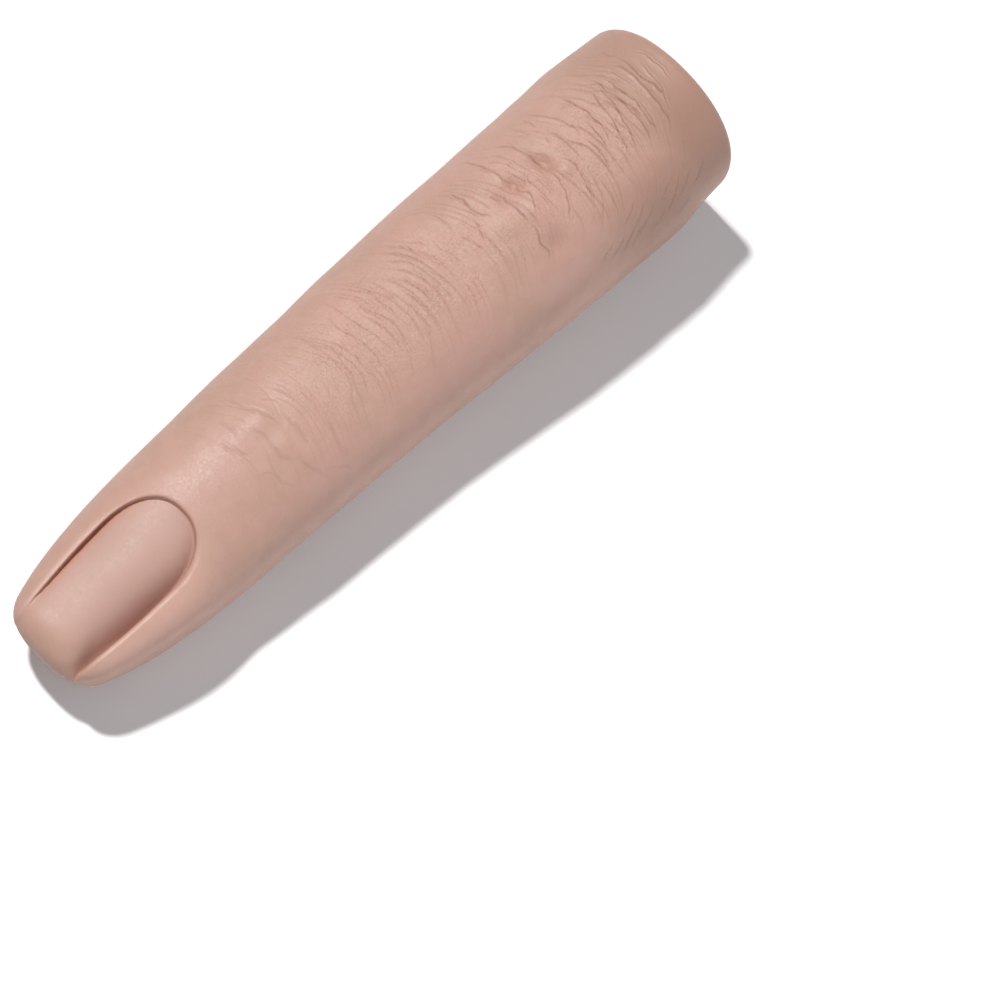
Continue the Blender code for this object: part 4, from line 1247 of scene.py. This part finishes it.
class Nodes:
    """Builds the nodes of a material or a world."""

    def __init__(self, owner):
        owner.use_nodes = True
        self.tree = owner.node_tree

    def join(self, inputs, node):
        """Sets a node's inputs to values, or joins other nodes' outputs to them."""
        for key, value in inputs.items():
            if isinstance(value, bpy.types.NodeSocket):
                self.tree.links.new(value, node.inputs[key])
            else:
                node.inputs[key].default_value = value

    def finish(self, inputs, name="Principled BSDF"):
        self.join(inputs, self.tree.nodes[name])

    def add(self, kind, inputs, output=0, **settings):
        """A new node's output."""
        node = self.tree.nodes.new("ShaderNode" + kind)
        for key, value in settings.items():
            setattr(node, key, value)
        self.join(inputs, node)
        return node.outputs[output]

    def mark(self, name, output="Fac"):
        return self.add("Attribute", {}, output, attribute_name=name)

    def maths(self, operation, first, second):
        return self.add("Math", {0: first, 1: second}, operation=operation)

    def plus(self, first, second):
        return self.maths("ADD", first, second)

    def minus(self, first, second):
        return self.maths("SUBTRACT", first, second)

    def times(self, first, second):
        return self.maths("MULTIPLY", first, second)

    def by_parts(self, operation, first, second):
        """Arithmetic on each part of a place or a colour."""
        return self.add("VectorMath", {0: first, 1: second}, operation=operation)

    def ranged(self, value, low, high, to_low=0.0, to_high=1.0):
        """A value carried smoothly from one range to another."""
        inputs = {"Value": value, "From Min": low, "From Max": high}
        inputs.update({"To Min": to_low, "To Max": to_high})
        return self.add("MapRange", inputs, interpolation_type="SMOOTHSTEP")

    def mixed(self, share, first, second):
        return self.add("Mix", {0: share, 6: first, 7: second}, 2, data_type="RGBA")

    def tinted(self, base, tints):
        """A colour with the tint of each mark over it."""
        for mark, share, tint in tints:
            base = self.mixed(self.times(self.mark(mark), share), base, tint)
        return base

    def noise(self, place, size, detail=2.0, roughness=0.5, output="Fac"):
        """Noise whose patches have about the given size in metres."""
        inputs = {"Vector": place, "Scale": 1 / size, "Detail": detail, "Roughness": roughness}
        return self.add("TexNoise", inputs, output)

    def cloud(self, place, size, detail, low, high, least=0.0):
        """Noise spread so that it runs from the least share to 1."""
        return self.ranged(self.noise(place, size, detail), low, high, least, 1.0)

    def bump(self, height, distance, strength=1.0, **more):
        inputs = {"Distance": distance, "Strength": strength, "Height": height}
        return self.add("Bump", {**inputs, **more}, "Normal")

    def seen(self):
        """1 for what is seen, straight or as a reflection, and 0 for light on its way."""
        path = self.tree.nodes.new("ShaderNodeLightPath")
        return self.maths("MAXIMUM", path.outputs["Is Camera Ray"], path.outputs["Is Glossy Ray"])


def skin_net(nodes, place):
    """0 on the edges of the skin's irregular fine net, and 1 inside its cells."""
    aside = nodes.noise(place, NET_WARP_SIZE, output="Color")
    aside = nodes.by_parts("SUBTRACT", aside, (0.5, 0.5, 0.5))
    bent = nodes.by_parts("ADD", place, nodes.by_parts("MULTIPLY", aside, (NET_WARP,) * 3))
    inputs = {"Vector": nodes.by_parts("MULTIPLY", bent, NET_STRETCH), "Scale": 1 / NET_SIZE}
    edges = nodes.add("TexVoronoi", inputs, "Distance", feature="DISTANCE_TO_EDGE")
    return nodes.ranged(edges, 0.0, NET_LINE)


def skin_material():
    """Matte silicone, mottled between a pinker and a tanner tone, with a fine skin texture."""
    # The colour also holds painted shade in creases, hollows and on the sides, painted glints and
    # shade in the grain and net, and painted glow and highlights round the nail
    made = bpy.data.materials.new("silicone_skin")
    nodes = Nodes(made)
    place = nodes.mark("rest", "Vector")
    bed = nodes.mark("bed")
    patches = nodes.cloud(place, *PATCHES)
    blotches = nodes.cloud(place, *BLOTCHES)
    top_grain = nodes.times(nodes.mark("top_grain"), nodes.cloud(place, *TOP_GRAIN_PATCHES))
    grain = nodes.noise(place, *GRAIN)
    net = skin_net(nodes, place)
    base = nodes.mixed(patches, *SKIN_TONES)
    base = nodes.mixed(nodes.times(blotches, BLOTCH_SHARE), base, BLOTCH_TONE)
    base = nodes.tinted(base, SKIN_TAN_AND_SHADE)
    # The mottle adds painted glints and shade of the grain, the net's lines painted shade, and the
    # colour is lighter along the top grain
    mottle = nodes.minus(nodes.cloud(place, *MOTTLE), 0.5)
    mottle = nodes.times(mottle, nodes.plus(MOTTLE_LEAST, nodes.times(top_grain, MOTTLE_TOP_GRAIN)))
    lines = nodes.times(nodes.minus(1.0, net), nodes.times(top_grain, NET_LINE_SHADE))
    level = nodes.plus(1.0, nodes.times(top_grain, TOP_GRAIN_LIGHTER))
    level = nodes.minus(nodes.plus(level, mottle), lines)
    base = nodes.by_parts("MULTIPLY", base, level)
    base = nodes.mixed(bed, base, nodes.mixed(patches, *BED_TONES))
    rough = nodes.ranged(grain, *GRAIN_SPAN, *SKIN_ROUGHNESS)
    strength = nodes.plus(GRAIN_LEAST, nodes.times(top_grain, 1 - GRAIN_LEAST))
    strength = nodes.times(strength, nodes.minus(1.0, nodes.times(bed, BED_SMOOTHER)))
    fine = nodes.bump(grain, GRAIN_DEPTH, strength)
    # Under the +Y lip, where the reddish glow is painted, the subsurface is stronger too
    warmer = nodes.times(nodes.mark("slot_glow"), SUBSURFACE_WARM)
    nodes.finish({
        "Base Color": nodes.tinted(base, NAIL_SHADE_AND_LIGHT),
        "Roughness": nodes.plus(rough, nodes.times(bed, BED_ROUGHER)),
        "Normal": nodes.bump(net, NET_DEPTH, top_grain, Normal=fine),
        "Specular IOR Level": 0.5,
        "Subsurface Weight": nodes.plus(SUBSURFACE, warmer),
        "Subsurface Radius": (1.0, 0.5, 0.35),
        "Subsurface Scale": 0.0006,
    })
    return made


def moulded_material(name, colour, roughness, size, depth):
    """Hard plastic with a fine moulded grain."""
    made = bpy.data.materials.new(name)
    nodes = Nodes(made)
    place = nodes.add("TexCoord", {}, "Object")
    grain = nodes.noise(place, size, 3)
    cloud = nodes.noise(place, PLASTIC_CLOUD_SIZE, 2)
    darker = [PLASTIC_DARKER * part for part in colour]
    spread = PLASTIC_ROUGHNESS_SPREAD
    nodes.finish({
        "Base Color": nodes.mixed(cloud, (*colour, 1), (*darker, 1)),
        "Roughness": nodes.ranged(grain, *GRAIN_SPAN, roughness - spread, roughness + spread),
        "Normal": nodes.bump(grain, depth),
    })
    return made


def steel_material():
    """Plain zinc-plated steel with faint turning marks."""
    made = bpy.data.materials.new("zinc_steel")
    nodes = Nodes(made)
    place = nodes.add("TexCoord", {}, "Object")
    marks = nodes.noise(nodes.by_parts("MULTIPLY", place, STEEL_STRETCH), STEEL_MARK_SIZE, 3)
    nodes.finish({
        "Base Color": nodes.mixed(nodes.noise(place, STEEL_CLOUD_SIZE, 2), *STEEL_TONES),
        "Roughness": nodes.ranged(marks, *GRAIN_SPAN, *STEEL_ROUGHNESS),
        "Normal": nodes.bump(marks, STEEL_MARK_DEPTH),
        "Metallic": 1.0,
    })
    return made


def finish_core():
    """Gives the frame's own parts their materials."""
    made = {name: moulded_material(name, *look) for name, look in PLASTICS.items()}
    made["zinc_steel"] = steel_material()
    for material, parts in CORE_PARTS.items():
        for part in parts:
            obj = bpy.data.objects[part]
            if not obj.material_slots:
                obj.data.materials.append(made[material])
            for slot in obj.material_slots:
                slot.material = made[material]


# Floor, lights and camera


def make_floor():
    mesh = bpy.data.meshes.new("floor")
    mesh.from_pydata([(-1, -1, 0), (1, -1, 0), (1, 1, 0), (-1, 1, 0)], [], [(0, 1, 2, 3)])
    floor = placed("floor", mesh)
    made = bpy.data.materials.new("floor")
    nodes = Nodes(made)
    nodes.tree.nodes.remove(nodes.tree.nodes["Principled BSDF"])
    colour = nodes.mixed(nodes.seen(), *FLOOR_TONES)
    nodes.finish({"Surface": nodes.add("BsdfDiffuse", {"Color": colour})}, "Material Output")
    floor.data.materials.append(made)


def make_light():
    sun = placed("key", bpy.data.lights.new("key", "SUN"))
    sun.data.energy = SUN_STRENGTH
    sun.data.angle = SUN_ANGLE
    towards = Vector((0, math.cos(SUN_ELEVATION), math.sin(SUN_ELEVATION)))
    sun.rotation_euler = towards.to_track_quat("Z", "Y").to_euler()
    world = bpy.data.worlds.new("room")
    bpy.context.scene.world = world
    nodes = Nodes(world)
    parts = nodes.tree.nodes.new("ShaderNodeSeparateXYZ")
    nodes.join({0: nodes.add("TexCoord", {}, "Generated")}, parts)
    y, z = parts.outputs["Y"], parts.outputs["Z"]
    shaded = nodes.ranged(y, *ROOM_SPAN)
    level = nodes.ranged(shaded, 0.0, 1.0, *ROOM_LEVELS)
    low = nodes.times(nodes.ranged(z, *LOW_LIGHT_Z), nodes.ranged(y, *LOW_LIGHT_Y))
    level = nodes.plus(level, nodes.times(low, LOW_LIGHT))
    seen = nodes.seen()
    nodes.finish({
        "Strength": nodes.ranged(seen, 0.0, 1.0, level, 1.0),
        "Color": nodes.mixed(seen, nodes.mixed(shaded, *ROOM_TINTS), WHITE),
    }, "Background")


def make_camera():
    camera = placed("camera", bpy.data.cameras.new("camera"))
    camera.data.sensor_width = SENSOR_WIDTH
    camera.data.lens = FOCAL_PIXELS / FRAME_PIXELS * SENSOR_WIDTH
    turn = Matrix((CAMERA_RIGHT, CAMERA_UP, CAMERA_BACK)).transposed().to_4x4()
    camera.matrix_world = Matrix.Translation(CAMERA_PLACE) @ turn
    bpy.context.scene.camera = camera


def main():
    bpy.context.scene.view_settings.view_transform = "Standard"
    make_camera()
    make_light()
    make_floor()
    nail_end, first_joint, knuckle, root = make_skin()
    skin = skin_material()
    for piece in (nail_end, first_joint, knuckle, root):
        piece.data.materials.append(skin)
    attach(nail_end, "distal")
    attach(root, "proximal")
    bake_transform(first_joint)
    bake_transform(knuckle)
    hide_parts("skin_tip")
    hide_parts("skin_dip_fold")
    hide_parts("skin_pip_fold", "skin_middle")
    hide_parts("skin_base")
    finish_core()


main()
